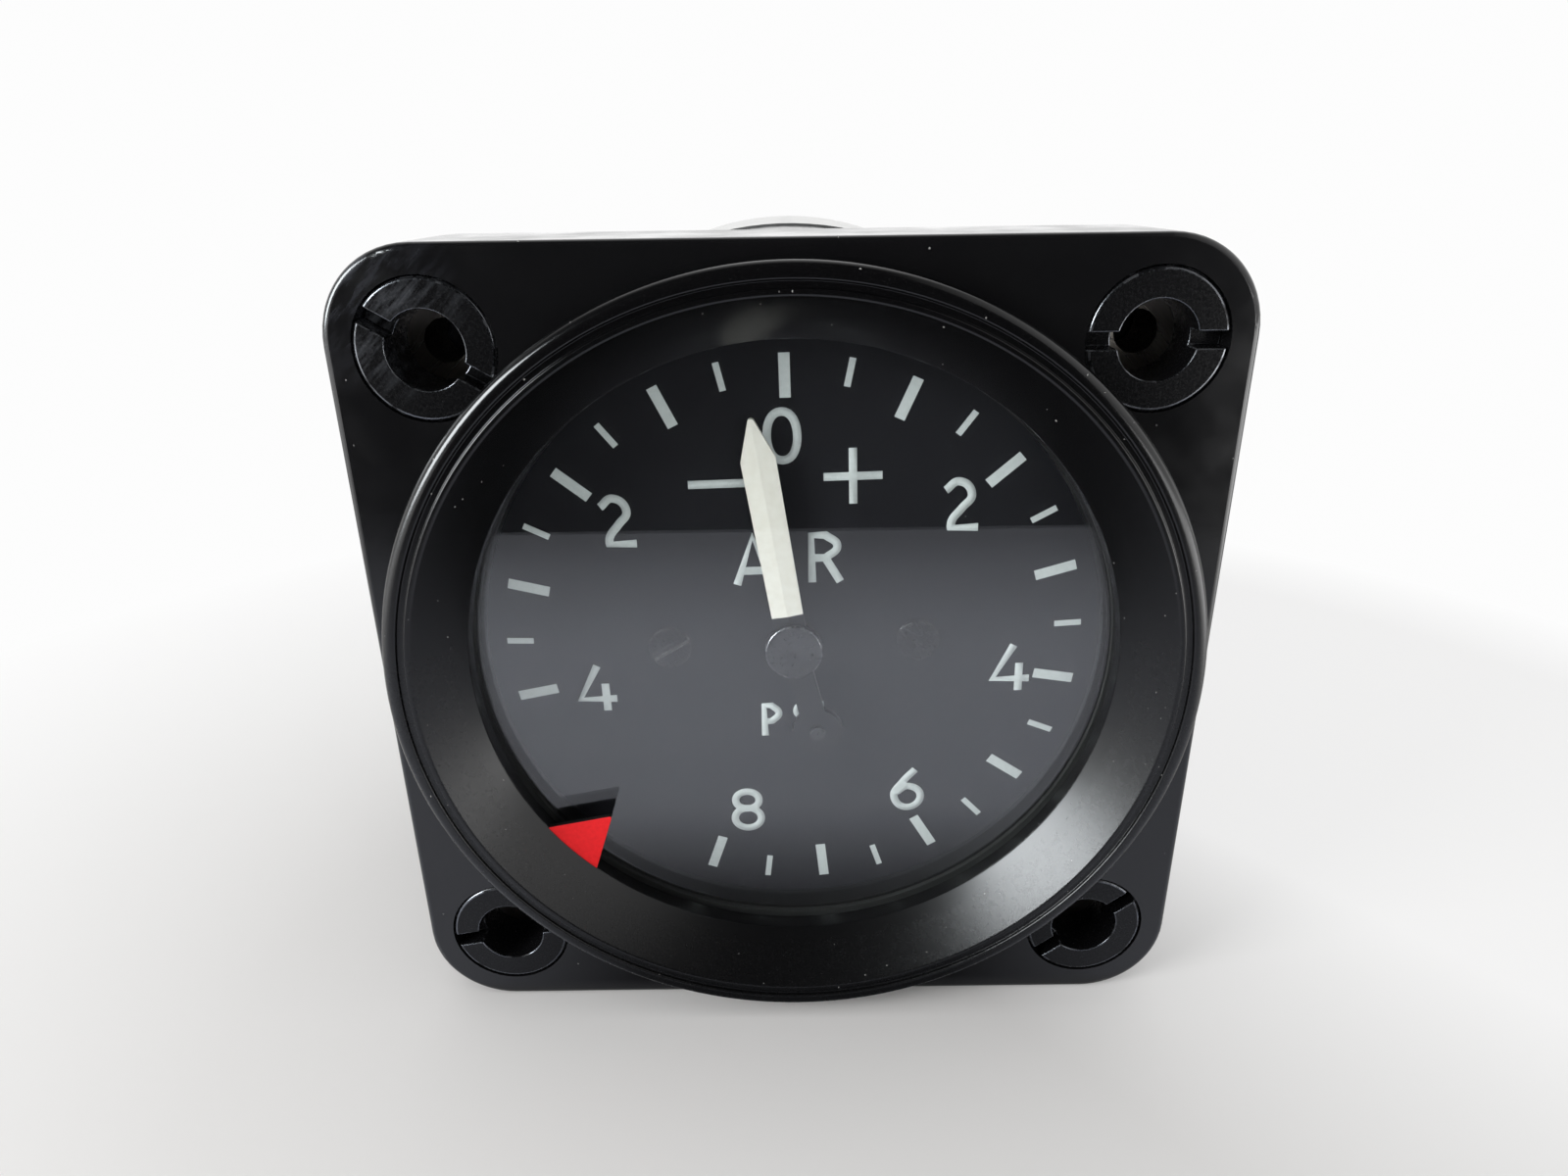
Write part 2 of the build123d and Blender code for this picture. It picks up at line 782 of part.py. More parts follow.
def make_sector_pin():
    """The shouldered pin that joins the sector's tail to the link."""
    pin = rod(link_pin_diameter, sector_front, link_back + link_gap - sector_front, tail_pin_place)
    pin += rod(link_pin_head, sector_front - link_pin_head_height, link_pin_head_height, tail_pin_place)
    return pin + rod(link_pin_head, link_back + link_gap / 2, link_pin_head_height, tail_pin_place)


def make_link():
    """The flat link, with a close hole for the sector's pin and a free one for the tip's."""
    outline = strip(tail_pin_place, link_hole_place, link_width)
    outline += Pos(*tail_pin_place) * Circle(link_end / 2)
    outline += Pos(*link_hole_place) * Circle(link_end / 2)
    link = slab(outline, link_front, link_thickness)
    link -= rod(link_pin_hole, link_front, link_thickness, tail_pin_place)
    free_hole = link_pin_diameter + 2 * link_free_play
    return link - rod(free_hole, link_front, link_thickness, link_hole_place)


def make_tube():
    """The flattened tube, bent round the case and closed into the socket at its root."""
    depth = tube_front + tube_width / 2
    outside = SlotOverall(tube_width, tube_thickness, rotation=90)
    inside = SlotOverall(tube_width - 2 * tube_wall, tube_thickness - 2 * tube_wall, rotation=90)
    section = Pos(tube_radius, depth) * (outside - inside)
    # The section starts on +X, at 90 degrees on the dial, and is swept clockwise from there.
    sweep = 180 + tube_end_angle
    tube = Rot(0, 90, 0) * revolve(section, axis=Axis.Y, revolution_arc=sweep)
    return tube - make_socket_block()


def make_tube_tip():
    """The block on the tube's end, with a finger forward to the link."""
    width = tube_thickness + 2 * tip_overhang
    block = slab(
        Pos(tip_length / 2, tube_radius) * Rectangle(tip_length, width),
        tube_front - tip_overhang, tube_width + 2 * tip_overhang)
    block = Rot(0, tube_end_angle, 0) * block
    finger_front = link_back + tip_finger_gap
    reach = tube_front - tip_overhang - finger_front
    outline = Rot(0, 0, -tube_end_angle) * RectangleRounded(tip_finger, tip_finger, tip_finger_corner)
    finger = slab(Pos(*tip_pin_place) * outline, finger_front, reach)
    bore = link_pin_diameter + 2 * press_clearance
    return block + finger - rod(bore, finger_front, tip_pin_depth + press_clearance, tip_pin_place)


def make_tip_pin():
    """The pin in the tip's finger, with a head in front of the link."""
    finger_front = link_back + tip_finger_gap
    head_back = link_front - link_gap / 2
    head_size = link_pin_head + 2 * link_free_play
    head = rod(head_size, head_back - link_pin_head_height, link_pin_head_height, tip_pin_place)
    shank = finger_front + tip_pin_depth - head_back
    return head + rod(link_pin_diameter, head_back, shank, tip_pin_place)


# Socket, stem and union

def make_socket_block():
    """The block behind the back plate and its arm down to the tube's root."""
    block_height = socket_top + socket_step
    block = Pos(0, (socket_top - socket_step) / 2) * Rectangle(socket_width, block_height)
    foot = tube_radius + tube_thickness / 2 + socket_foot
    arm = Pos(0, -foot / 2) * Rectangle(socket_width, foot)
    arm_front = back_plate_back + socket_arm_setback
    depth = socket_block_back - back_plate_back
    return slab(block, back_plate_back, depth) + slab(arm, arm_front, socket_block_back - arm_front)


def make_socket():
    """Socket block, stem and pipe union in one piece of brass, drilled from end to end."""
    block = make_socket_block()
    stem = turned([
        (0, socket_block_back),
        (stem_diameter / 2, socket_block_back),
        (stem_diameter / 2, collar_back - collar_thickness),
        (collar_diameter / 2, collar_back - collar_thickness),
        (collar_diameter / 2, collar_back),
        (stem_thread / 2, collar_back),
        (stem_thread / 2, nut_back),
        (neck_diameter / 2, nut_back),
        (neck_diameter / 2, union_front),
        (union_thread / 2, union_front),
        (union_thread / 2, union_back - union_cone_length),
        (union_thread / 2 - union_cone_length * tan(radians(union_cone_angle)), union_back),
        (0, union_back),
    ])
    socket = block + stem
    port_depth = tube_front + tube_width / 2
    socket -= rod(union_bore, collar_back, union_back - collar_back)
    socket -= rod(port_diameter, port_depth, collar_back - port_depth)
    drop = Pos(0, port_depth, 0) * Cylinder(
        port_diameter / 2, tube_radius, align=(Align.CENTER, Align.CENTER, Align.MAX))
    across = Pos(0, port_depth, -tube_radius) * Rot(0, -90, 0) * Cylinder(
        (tube_thickness - 2 * tube_wall) / 2, socket_width / 2, align=(Align.CENTER, Align.CENTER, Align.MIN))
    socket = socket - drop - across
    for place in socket_screw_places:
        bore = socket_screw_diameter + 2 * press_clearance
        depth = socket_screw_reach - plate_thickness + seat_clearance
        socket -= rod(bore, back_plate_back, depth, place)
    return socket


def make_socket_screws():
    """The two screws that hold the movement to the socket block."""
    return Compound(children=[
        slotted_screw(place, back_plate_front, socket_screw_head, socket_screw_head_height,
                      socket_screw_diameter, socket_screw_reach, slot_angle)
        for place, slot_angle in zip(socket_screw_places, socket_screw_slots)
    ])


def make_stem_washer():
    return make_ring(collar_diameter / 2, stem_thread / 2 + seat_clearance, collar_back, washer_thickness)


def make_stem_nut():
    """The thin hexagon nut that clamps the stem to the cup."""
    flats = RegularPolygon(nut_flats / 2, 6, major_radius=False)
    nut = slab(flats, nut_front, nut_thickness)
    corner = nut_flats / sqrt(3)
    guard = turned([
        (0, nut_front),
        (corner, nut_front),
        (corner, nut_back - nut_chamfer / 2),
        (corner - nut_chamfer, nut_back),
        (0, nut_back),
    ])
    return (nut & guard) - rod(stem_thread + 2 * press_clearance, nut_front, nut_thickness)


pieces = {
    "front_case": make_front_case(),
    "thread_inserts": make_thread_inserts(),
    "bezel_ring": make_bezel(),
    "glass": make_glass(),
    "glass_gasket": make_ring(glass_radius, glass_radius - gasket_width, glass_back, gasket_thickness),
    "limit_ring": make_limit_ring(),
    "limit_flag": make_limit_flag(),
    "rear_cup": make_rear_cup(),
    "case_screws": make_case_screws(),
    "case_seal": make_case_seal(),
    "dial_plate": make_dial(),
    "dial_screws": make_dial_screws(),
    "dial_posts": make_dial_posts(),
    "pointer": make_pointer(),
    "pointer_weight": make_pointer_weight(),
    "weight_rivet": make_weight_rivet(),
    "pointer_hub": make_pointer_hub(),
    "pinion_arbor": make_pinion_arbor(),
    "hairspring_collet": make_collet(),
    "hairspring": make_hairspring(),
    "hairspring_stud": make_spring_stud(),
    "front_plate": make_front_plate(),
    "back_plate": make_back_plate(),
    "plate_pillars": make_pillars(),
    "front_plate_screws": make_plate_screws(front_plate_front, True),
    "back_plate_screws": make_plate_screws(back_plate_back, False),
    "sector_gear": make_sector(),
    "sector_arbor": make_sector_arbor(),
    "sector_pin": make_sector_pin(),
    "drive_link": make_link(),
    "tip_pin": make_tip_pin(),
    "tube_tip": make_tube_tip(),
    "pressure_tube": make_tube(),
    "tube_socket": make_socket(),
    "socket_screws": make_socket_screws(),
    "stem_washer": make_stem_washer(),
    "stem_nut": make_stem_nut(),
}
for corner_name, corner_place in corner_places().items():
    pieces[f"bush_{corner_name}"] = make_bush(corner_place, slot_angles[corner_name])

os.makedirs("parts", exist_ok=True)
for name, piece in pieces.items():
    export_step(piece, f"parts/{name}.step")
    print(name, "solids", len(piece.solids()), "volume", round(piece.volume, 2))
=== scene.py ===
# %% [markdown]
# # Dressing a panel pressure gauge
# The gauge comes as a set of plain solids that already fit and move. This lesson gives every one of
# them its finish, and rebuilds the few whose edges, print or threads the plain solids leave out.
# The frame is loaded first and never moved, because all places are read from it.

# %% Tools and the fixed frame
import json
import math
import bmesh
import bpy
from mathutils import Matrix, Vector


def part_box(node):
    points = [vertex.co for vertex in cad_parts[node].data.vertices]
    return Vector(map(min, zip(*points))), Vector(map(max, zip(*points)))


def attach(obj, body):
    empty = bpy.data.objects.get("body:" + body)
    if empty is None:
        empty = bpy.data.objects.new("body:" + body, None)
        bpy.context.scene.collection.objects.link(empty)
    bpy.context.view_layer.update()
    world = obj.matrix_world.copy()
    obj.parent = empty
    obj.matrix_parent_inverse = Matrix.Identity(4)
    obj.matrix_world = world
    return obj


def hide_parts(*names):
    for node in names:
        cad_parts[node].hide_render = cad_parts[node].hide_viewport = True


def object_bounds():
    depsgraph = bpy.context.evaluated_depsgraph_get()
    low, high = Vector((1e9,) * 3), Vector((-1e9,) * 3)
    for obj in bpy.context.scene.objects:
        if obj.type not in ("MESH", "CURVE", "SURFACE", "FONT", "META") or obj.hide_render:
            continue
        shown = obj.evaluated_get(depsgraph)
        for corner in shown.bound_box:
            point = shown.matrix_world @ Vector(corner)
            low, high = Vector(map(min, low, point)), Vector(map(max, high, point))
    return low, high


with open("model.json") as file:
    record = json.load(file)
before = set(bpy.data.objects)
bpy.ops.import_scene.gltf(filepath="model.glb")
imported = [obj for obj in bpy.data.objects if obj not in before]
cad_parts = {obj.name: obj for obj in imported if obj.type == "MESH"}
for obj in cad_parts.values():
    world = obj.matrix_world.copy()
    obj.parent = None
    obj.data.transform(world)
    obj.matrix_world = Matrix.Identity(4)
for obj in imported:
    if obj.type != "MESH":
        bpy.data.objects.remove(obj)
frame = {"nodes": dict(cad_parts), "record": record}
cad_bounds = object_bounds()
MM = 0.001
scene = bpy.context.scene
bodies = frame["record"]["behaviour"]["bodies"]
body_of_node = {node: body for body, nodes in bodies.items() for node in nodes}
slot_of_node = {part["node"]: part["material_slot"] for part in frame["record"]["subparts"]}


# %% [markdown]
# ## Sizes read from the solids
# A measure that a solid already has is read from its box, so that the dressing follows the model. The
# dial faces -Y, so the front of a piece is its lowest Y and its outer radius is its highest X.

# %% Read sizes from the frame
def front_of(node):
    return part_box(node)[0].y


def back_of(node):
    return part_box(node)[1].y


def radius_of(node):
    low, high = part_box(node)
    return (high.x - low.x) / 2


floor_height = cad_bounds[0].z
dial_front = front_of("dial_plate")
bezel_radius = radius_of("bezel_ring")
print("dial front at", round(dial_front / MM, 2), "mm, bezel radius", round(bezel_radius / MM, 2), "mm")


# %% [markdown]
# ## Camera
# The photograph looks down on the gauge from close by with a wide lens. The camera's place was worked
# out from the flange's known size, so only its place, its direction and its lens are set here.

# %% Make the camera
def in_scene(name, data):
    """A new object that holds the data, linked to the scene."""
    made = bpy.data.objects.new(name, data)
    scene.collection.objects.link(made)
    return made


camera_place = Vector((-0.55, -64.7, 33.3)) * MM
camera_forward = Vector((-0.0019, 0.9251, -0.3798)).normalized()
camera_up = Vector((0.0134, 0.3798, 0.9250))
lens_mm = 22.74
camera_right = camera_forward.cross(camera_up).normalized()
camera_up = camera_right.cross(camera_forward)
camera = in_scene("camera", bpy.data.cameras.new("camera"))
camera.data.lens = lens_mm
camera.data.sensor_width = 36.0
camera.data.clip_start = 1 * MM
camera.matrix_world = Matrix.Translation(camera_place) @ Matrix(
    (camera_right, camera_up, -camera_forward)).transposed().to_4x4()
scene.camera = camera
print("camera", round(camera_place.length / MM, 1), "mm from the flange's centre")


# %% [markdown]
# ## Building shader trees
# A finish is a Principled shader with a few nodes in front of it. They could be placed in the node
# editor. Small helpers place them here instead, so that each finish reads as a short recipe. Numbers
# that are the same all over a piece are set on the shader's own sockets.

# %% Helpers that start a tree
def add_node(tree, kind, values=None, **properties):
    """A new node. Values go to its input sockets by name or number, and a socket is linked."""
    node = tree.nodes.new(kind)
    for name, value in properties.items():
        setattr(node, name, value)
    for name, value in (values or {}).items():
        if isinstance(value, bpy.types.NodeSocket):
            tree.links.new(value, node.inputs[name])
        else:
            node.inputs[name].default_value = value
    return node


finishes = {}


def new_material(name, colour, roughness, **shader_values):
    """The tree and the shader of a material, which is kept in the finishes under its name."""
    material = finishes[name] = bpy.data.materials.new(name)
    material.use_nodes = True
    shader = material.node_tree.nodes["Principled BSDF"]
    shader.inputs["Base Color"].default_value = (*colour, 1)
    shader.inputs["Roughness"].default_value = roughness
    for socket, value in shader_values.items():
        shader.inputs[socket.replace("_", " ")].default_value = value
    return material.node_tree, shader


# %% Helpers for numbers and colours in a tree
def sum_of(tree, operation, first, second=0.0):
    """The result of one sum on two values."""
    return add_node(tree, "ShaderNodeMath", {0: first, 1: second}, operation=operation).outputs[0]


def product(tree, first, second):
    return sum_of(tree, "MULTIPLY", first, second)


def larger(tree, first, second):
    return sum_of(tree, "MAXIMUM", first, second)


def mapped(tree, value, low, high, source_low=0.0, source_high=1.0):
    """A value stretched from one range to another, and held inside it."""
    return add_node(tree, "ShaderNodeMapRange", {
        "Value": value, "From Min": source_low, "From Max": source_high,
        "To Min": low, "To Max": high}).outputs[0]


def mask_between(tree, value, start, end):
    """A mask that rises from 0 to 1 as the value goes from start to end."""
    return mapped(tree, value, 0.0, 1.0, start, end)


def mixed_value(tree, mask, plain, other):
    """A number that goes from plain to other as the mask rises."""
    return add_node(tree, "ShaderNodeMix", {"Factor": mask, "A": plain, "B": other}).outputs[0]


COLOUR_A, COLOUR_B, COLOUR_OUT = 6, 7, 2


def mixed_colour(tree, mask, plain, other):
    """A colour that goes from plain to other as the mask rises. Each is a socket or three numbers."""
    ends = [end if isinstance(end, bpy.types.NodeSocket) else (*end, 1) for end in (plain, other)]
    mix = add_node(tree, "ShaderNodeMix", {
        "Factor": mask, COLOUR_A: ends[0], COLOUR_B: ends[1]}, data_type="RGBA")
    return mix.outputs[COLOUR_OUT]


def feed(tree, shader, **sockets):
    """Link what the tree made to the shader's sockets."""
    for name, value in sockets.items():
        tree.links.new(value, shader.inputs[name.replace("_", " ")])


def shown(tree, mask, plain, other):
    """The material shows one shader or the other, as the mask says."""
    mix = add_node(tree, "ShaderNodeMixShader", {0: mask, 1: plain.outputs[0], 2: other.outputs[0]})
    tree.links.new(mix.outputs[0], tree.nodes["Material Output"].inputs["Surface"])


def raised(tree, shader, height, depth_mm, strength):
    """Bump on the shader from a height between 0 and 1."""
    bump = add_node(tree, "ShaderNodeBump", {
        "Height": height, "Distance": depth_mm * MM, "Strength": strength})
    feed(tree, shader, Normal=bump.outputs[0])


# %% Helpers for places and patterns in a tree
def vector_number(tree, operation, first, second=(0.0, 0.0, 0.0)):
    """The number that a sum on vectors gives, such as a length or a distance."""
    return add_node(
        tree, "ShaderNodeVectorMath", {0: first, 1: second}, operation=operation).outputs["Value"]


def scaled(tree, vector, factor):
    return add_node(
        tree, "ShaderNodeVectorMath", {0: vector, "Scale": factor}, operation="SCALE").outputs[0]


def axes(tree, vector):
    """The vector's X, Y and Z."""
    return add_node(tree, "ShaderNodeSeparateXYZ", {"Vector": vector}).outputs


def joined(tree, **parts):
    """A vector from its X, Y and Z. One that is left out is 0."""
    return add_node(tree, "ShaderNodeCombineXYZ", parts).outputs[0]


def object_place(tree):
    """The place on the piece itself, so that a pattern moves with the piece."""
    return add_node(tree, "ShaderNodeTexCoord").outputs["Object"]


def object_position(tree, size_mm):
    """The place on the piece, divided by a size in millimetres."""
    return scaled(tree, object_place(tree), sum_of(tree, "DIVIDE", 1 / MM, size_mm))


def noise(tree, position, detail, roughness=0.5, scale=1.0):
    """Soft random values round 0.5."""
    return add_node(tree, "ShaderNodeTexNoise", {
        "Vector": position, "Scale": scale, "Detail": detail, "Roughness": roughness}).outputs["Fac"]


# %% [markdown]
# ## Shared effects
# These effects turn up on many of the pieces, so each is one node group, filled by one function. A
# picture could hold them too, but noise on object coordinates needs no unwrapping and has no seams.
# Grain is the fine, even unevenness of a coated surface.

# %% Group: grain
def new_group(name, output, fill, **inputs):
    """A shader node group with number inputs and their defaults, and one output."""
    group = bpy.data.node_groups.new(name, "ShaderNodeTree")
    for socket, default in inputs.items():
        made = group.interface.new_socket(socket, in_out="INPUT", socket_type="NodeSocketFloat")
        made.default_value = default
    group.interface.new_socket(output, in_out="OUTPUT", socket_type="NodeSocketFloat")
    result = fill(group, group.nodes.new("NodeGroupInput").outputs)
    add_node(group, "NodeGroupOutput", {output: result})
    print(name, "group has", len(group.nodes), "nodes")
    return group


def place_group(tree, group, **values):
    """The output of a group that is placed in a tree with its own values."""
    return add_node(tree, "ShaderNodeGroup", values, node_tree=group).outputs[0]


def fill_grain(tree, given):
    return noise(tree, object_position(tree, given["Size"]), given["Detail"], 0.6)


grain_group = new_group("grain", "Value", fill_grain, Size=0.3, Detail=3.0)

# %% [markdown]
# Wear breaks a coat into patches of bare metal. The noise is cut off at a height that falls as the
# amount rises, with a soft border, because a coat thins before it is gone.

# %% Group: wear
def fill_wear(tree, given):
    border = 0.08
    edge = sum_of(tree, "SUBTRACT", 1.0, given["Amount"])
    over = sum_of(tree, "SUBTRACT", noise(tree, object_position(tree, given["Size"]), 2.0), edge)
    return mask_between(tree, over, -border, border)


wear_group = new_group("wear", "Mask", fill_wear, Size=1.0, Amount=0.5)

# %% [markdown]
# Dust is a scatter of pale specks. Each cell of a Voronoi pattern may hold one speck round its centre,
# and the cell's random colour decides whether it does.

# %% Group: dust
def fill_dust(tree, given):
    cells = add_node(tree, "ShaderNodeTexVoronoi", {
        "Vector": object_position(tree, given["Size"]), "Scale": 1.0, "Randomness": 1.0}).outputs
    chance = add_node(tree, "ShaderNodeSeparateColor", {"Color": cells["Color"]}).outputs[0]
    there = sum_of(tree, "LESS_THAN", chance, given["Amount"])
    return product(tree, there, sum_of(tree, "LESS_THAN", cells["Distance"], given["Speck"]))


dust_group = new_group("dust", "Mask", fill_dust, Size=1.2, Speck=0.1, Amount=0.3)

# %% [markdown]
# Turned pieces look the same all the way round the gauge's axis. One group measures the distance from
# that axis. A second one lays noise along it and along the depth, which gives the rings that a lathe
# tool leaves.

# %% Groups: distance from the axis, and turning marks
def fill_axis_radius(tree, given):
    place = axes(tree, object_position(tree, given["Size"]))
    return vector_number(tree, "LENGTH", joined(tree, X=place[0], Z=place[2]))


def fill_turning_marks(tree, given):
    depth = axes(tree, object_position(tree, given["Pitch"]))[1]
    return noise(tree, joined(tree, X=place_group(tree, radius_group, Size=given["Pitch"]), Y=depth), 2.0)


radius_group = new_group("axis_radius", "Value", fill_axis_radius, Size=1.0)
turning_group = new_group("turning_marks", "Value", fill_turning_marks, Pitch=0.12)

# %% [markdown]
# Scuffs are the rubbed streaks at one corner of the flange. The noise is stretched along the diagonal
# and fades out with the distance from the corner.

# %% Group: scuffs
def fill_scuffs(tree, given):
    turn, stretch = math.radians(-45), (3.2, 1.0, 0.6)
    place = object_position(tree, 1.0)
    flat = add_node(tree, "ShaderNodeVectorMath", {0: place, 1: (1.0, 0.0, 1.0)}, operation="MULTIPLY")
    away = vector_number(tree, "DISTANCE", flat.outputs[0], joined(tree, X=given["X"], Z=given["Z"]))
    near = mapped(tree, away, 1.0, 0.0, 0.0, given["Reach"])
    along = add_node(tree, "ShaderNodeMapping", {
        "Vector": place, "Rotation": (0.0, turn, 0.0), "Scale": stretch}, vector_type="TEXTURE").outputs[0]
    return product(tree, near, mask_between(tree, noise(tree, along, 5.0, 0.65, 0.9), 0.45, 0.7))


scuff_group = new_group("scuffs", "Mask", fill_scuffs, X=-27.5, Z=27.5, Reach=7.0)


# %% [markdown]
# ## Case moulding
# The flange and the case are one glossy black moulding: near black, with a clear mirror of what stands
# round it, faint unevenness and a few specks of dust. It could be a coated metal, but black moulding
# has no metal look, so it stays a plain dielectric.

# %% Finish: case moulding
def make_case_moulding():
    black, rubbed, dust = (0.0045, 0.0045, 0.005), (0.035, 0.037, 0.045), (0.12, 0.12, 0.12)
    tree, shader = new_material("case_moulding", black, 0.16, IOR=1.47)
    cloud = place_group(tree, grain_group, Size=6.0, Detail=4.0)
    fine = place_group(tree, grain_group, Size=0.25, Detail=2.0)
    specks = place_group(tree, dust_group, Size=1.7, Speck=0.035, Amount=0.25)
    scuffed = mixed_colour(tree, place_group(tree, scuff_group), black, rubbed)
    feed(tree, shader, Base_Color=mixed_colour(tree, specks, scuffed, dust),
         Roughness=mapped(tree, cloud, 0.1, 0.24, 0.3, 0.7))
    raised(tree, shader, fine, 0.004, 0.35)


make_case_moulding()
print("finished:", *finishes)


# %% [markdown]
# ## Satin black of the bezel
# The bezel is satin black over fine blasting, so it carries a wide soft sheen that breaks into sparkle.
# Its upper part is rubbed smoother, and its lip is clean. One roughness all over would be simpler, but
# the real sheen is soft below and tight above.

# %% Finish: satin black of the bezel
def make_bezel_black():
    black, flake, dust = (0.0025, 0.0025, 0.0028), (0.012, 0.012, 0.012), (0.10, 0.10, 0.10)
    lip_end_mm, cone_start_mm = 24.1, 24.8
    smooth_above, rough_below = 24 * MM, 2 * MM
    tree, shader = new_material("bezel_black", black, 0.19, IOR=1.4)
    blasted = place_group(tree, grain_group, Size=0.09, Detail=2.0)
    cloud = place_group(tree, grain_group, Size=0.5, Detail=3.0)
    specks = place_group(tree, dust_group, Size=0.8, Speck=0.06, Amount=0.12)
    off_lip = mask_between(tree, place_group(tree, radius_group), lip_end_mm, cone_start_mm)
    handled = mapped(tree, axes(tree, object_place(tree))[2], 0.2, 1.0, smooth_above, rough_below)
    flakes = product(tree, mask_between(tree, blasted, 0.62, 0.72), off_lip)
    uneven = product(tree, mapped(tree, cloud, -0.012, 0.012, 0.3, 0.7), off_lip)
    roughness = sum_of(tree, "ADD", mapped(tree, handled, 0.14, 0.27, 0.2, 1.0), uneven)
    dusty = mixed_colour(tree, specks, black, dust)
    feed(tree, shader, Base_Color=mixed_colour(tree, flakes, dusty, flake), Roughness=roughness)
    texture = product(tree, handled, off_lip)
    raised(tree, shader, product(tree, blasted, texture), 0.013, 0.6)


make_bezel_black()
print("finished:", *finishes)


# %% [markdown]
# ## Blackened steel and its worn edges
# Bushes and screws are steel with a thin black finish. On their edges it is rubbed away in patches, so
# the edges get a second material: the same black with the wear mask, which turns it to bare metal.

# %% Finish: black over steel
def make_worn_black(name, wear_amount, steel=(0.12, 0.125, 0.135)):
    """Black finish over steel. With a wear amount the bare steel shows through in patches."""
    black, rubbed = (0.004, 0.004, 0.0045), (0.075, 0.08, 0.09)
    tree, shader = new_material(name, black, 0.3, IOR=1.28)
    fine = place_group(tree, grain_group, Size=0.2, Detail=4.0)
    coat = mixed_colour(tree, place_group(tree, scuff_group, Reach=8.0), black, rubbed)
    if wear_amount:
        worn = place_group(tree, wear_group, Size=1.5, Amount=wear_amount)
        coat = mixed_colour(tree, worn, coat, steel)
        feed(tree, shader, Metallic=worn)
    feed(tree, shader, Base_Color=coat, Roughness=mapped(tree, fine, 0.15, 0.34, 0.3, 0.7))
    raised(tree, shader, fine, 0.006, 0.4)


make_worn_black("screw_black", 0.0)
make_worn_black("bush_black", 0.0)
make_worn_black("worn_edge", 0.58)
make_worn_black("worn_screw", 0.5, (0.15, 0.15, 0.15))
make_worn_black("worn_hub", 0.55, (0.2, 0.2, 0.21))
print("finished:", *finishes)


# %% [markdown]
# ## Bare metals
# Bare metals differ in colour and in how they were worked. Turned pieces share one recipe: the turning
# marks drive both roughness and a shallow bump, and a slow cloud adds handling marks. The movement's brass
# front plate is given a near-black metal as painted shade, so that no brass shines through the hole round
# the hub.

# %% Finish: bare metals
def make_metal(name, colour, roughness, pitch=0.12):
    marks_share, cloud_share, stain = 0.7, 0.3, 0.85
    tree, shader = new_material(name, colour, roughness, Metallic=1.0)
    marks = place_group(tree, turning_group, Pitch=pitch)
    cloud = place_group(tree, grain_group, Size=3.0, Detail=5.0)
    uneven = sum_of(tree, "ADD", product(tree, marks, marks_share), product(tree, cloud, cloud_share))
    dull = tuple(part * stain for part in colour)
    feed(tree, shader,
         Base_Color=mixed_colour(tree, mask_between(tree, uneven, 0.35, 0.65), colour, dull),
         Roughness=mapped(tree, uneven, roughness - 0.06, roughness + 0.06, 0.35, 0.65))
    raised(tree, shader, marks, 0.003, 0.6)


make_metal("cup_alloy", (0.58, 0.58, 0.57), 0.36, pitch=0.25)
make_metal("plain_steel", (0.52, 0.52, 0.53), 0.28)
make_metal("movement_brass", (0.60, 0.43, 0.17), 0.3)
make_metal("spring_bronze", (0.48, 0.31, 0.15), 0.3, pitch=0.4)
# Painted shade: a near-black metal for the brass front plate, so no brass shows through the hole round the
# hub.
make_metal("painted_shade_plate", (0.035, 0.033, 0.03), 0.4)
make_metal("oiled_steel", (0.5, 0.46, 0.41), 0.3)
print("finished:", *finishes)


# %% [markdown]
# ## Dull black of the dial
# The dial is a dull dark black, so that its print stands out. Next to nothing mirrors in it: its IOR is
# low and its roughness high, where plain black paint would show a grey haze.

# %% Finish: dull black dial
def make_dial_black():
    black, dust = (0.0095, 0.0095, 0.012), (0.16, 0.17, 0.18)
    tree, shader = new_material("dial_black", black, 0.6, IOR=1.2)
    cloud = place_group(tree, grain_group, Size=4.0, Detail=3.0)
    specks = place_group(tree, dust_group, Size=1.6, Speck=0.035, Amount=0.12)
    feed(tree, shader, Base_Color=mixed_colour(tree, specks, black, dust),
         Roughness=mapped(tree, cloud, 0.57, 0.65, 0.3, 0.7))


make_dial_black()
print("finished:", *finishes)


# %% [markdown]
# ## Paints
# Print, marker, hub and rings are matt paint or rubber with a faint unevenness, and they differ in
# colour and in gloss alone. One function makes them all: the colour drifts a little towards a shade.

# %% Finish: matt paints
def make_paint(name, colour, shade, roughness, grain_mm=0.35, ior=1.5):
    """Matt paint whose colour drifts a little towards a shade."""
    tree, shader = new_material(name, colour, roughness, IOR=ior)
    drift = place_group(tree, grain_group, Size=grain_mm, Detail=4.0)
    feed(tree, shader,
         Base_Color=mixed_colour(tree, mask_between(tree, drift, 0.35, 0.7), colour, shade),
         Roughness=mapped(tree, drift, roughness - 0.06, roughness + 0.08, 0.3, 0.7))
    raised(tree, shader, drift, 0.004, 0.4)


make_paint("rubber_seal", (0.012, 0.012, 0.012), (0.02, 0.02, 0.02), 0.7)
make_paint("ring_black", (0.005, 0.005, 0.005), (0.008, 0.008, 0.008), 0.35)
make_paint("hub_black", (0.007, 0.007, 0.008), (0.012, 0.012, 0.013), 0.3)
make_paint("marker_red", (0.74, 0.012, 0.016), (0.66, 0.01, 0.013), 0.5, ior=1.3)
print("finished:", *finishes)


# %% [markdown]
# The pointer is one pressing with two paints: cream on the blade from a little way out of the hub,
# black round the hub and on the tail. Its mask is the distance along the blade's own direction, on
# object coordinates, so the blade carries its paint when it swings.

# %% Finish: two-colour pointer
pointer_angle = math.radians(-9.15)
cream_start_mm, paint_border_mm = 2.9, 0.03


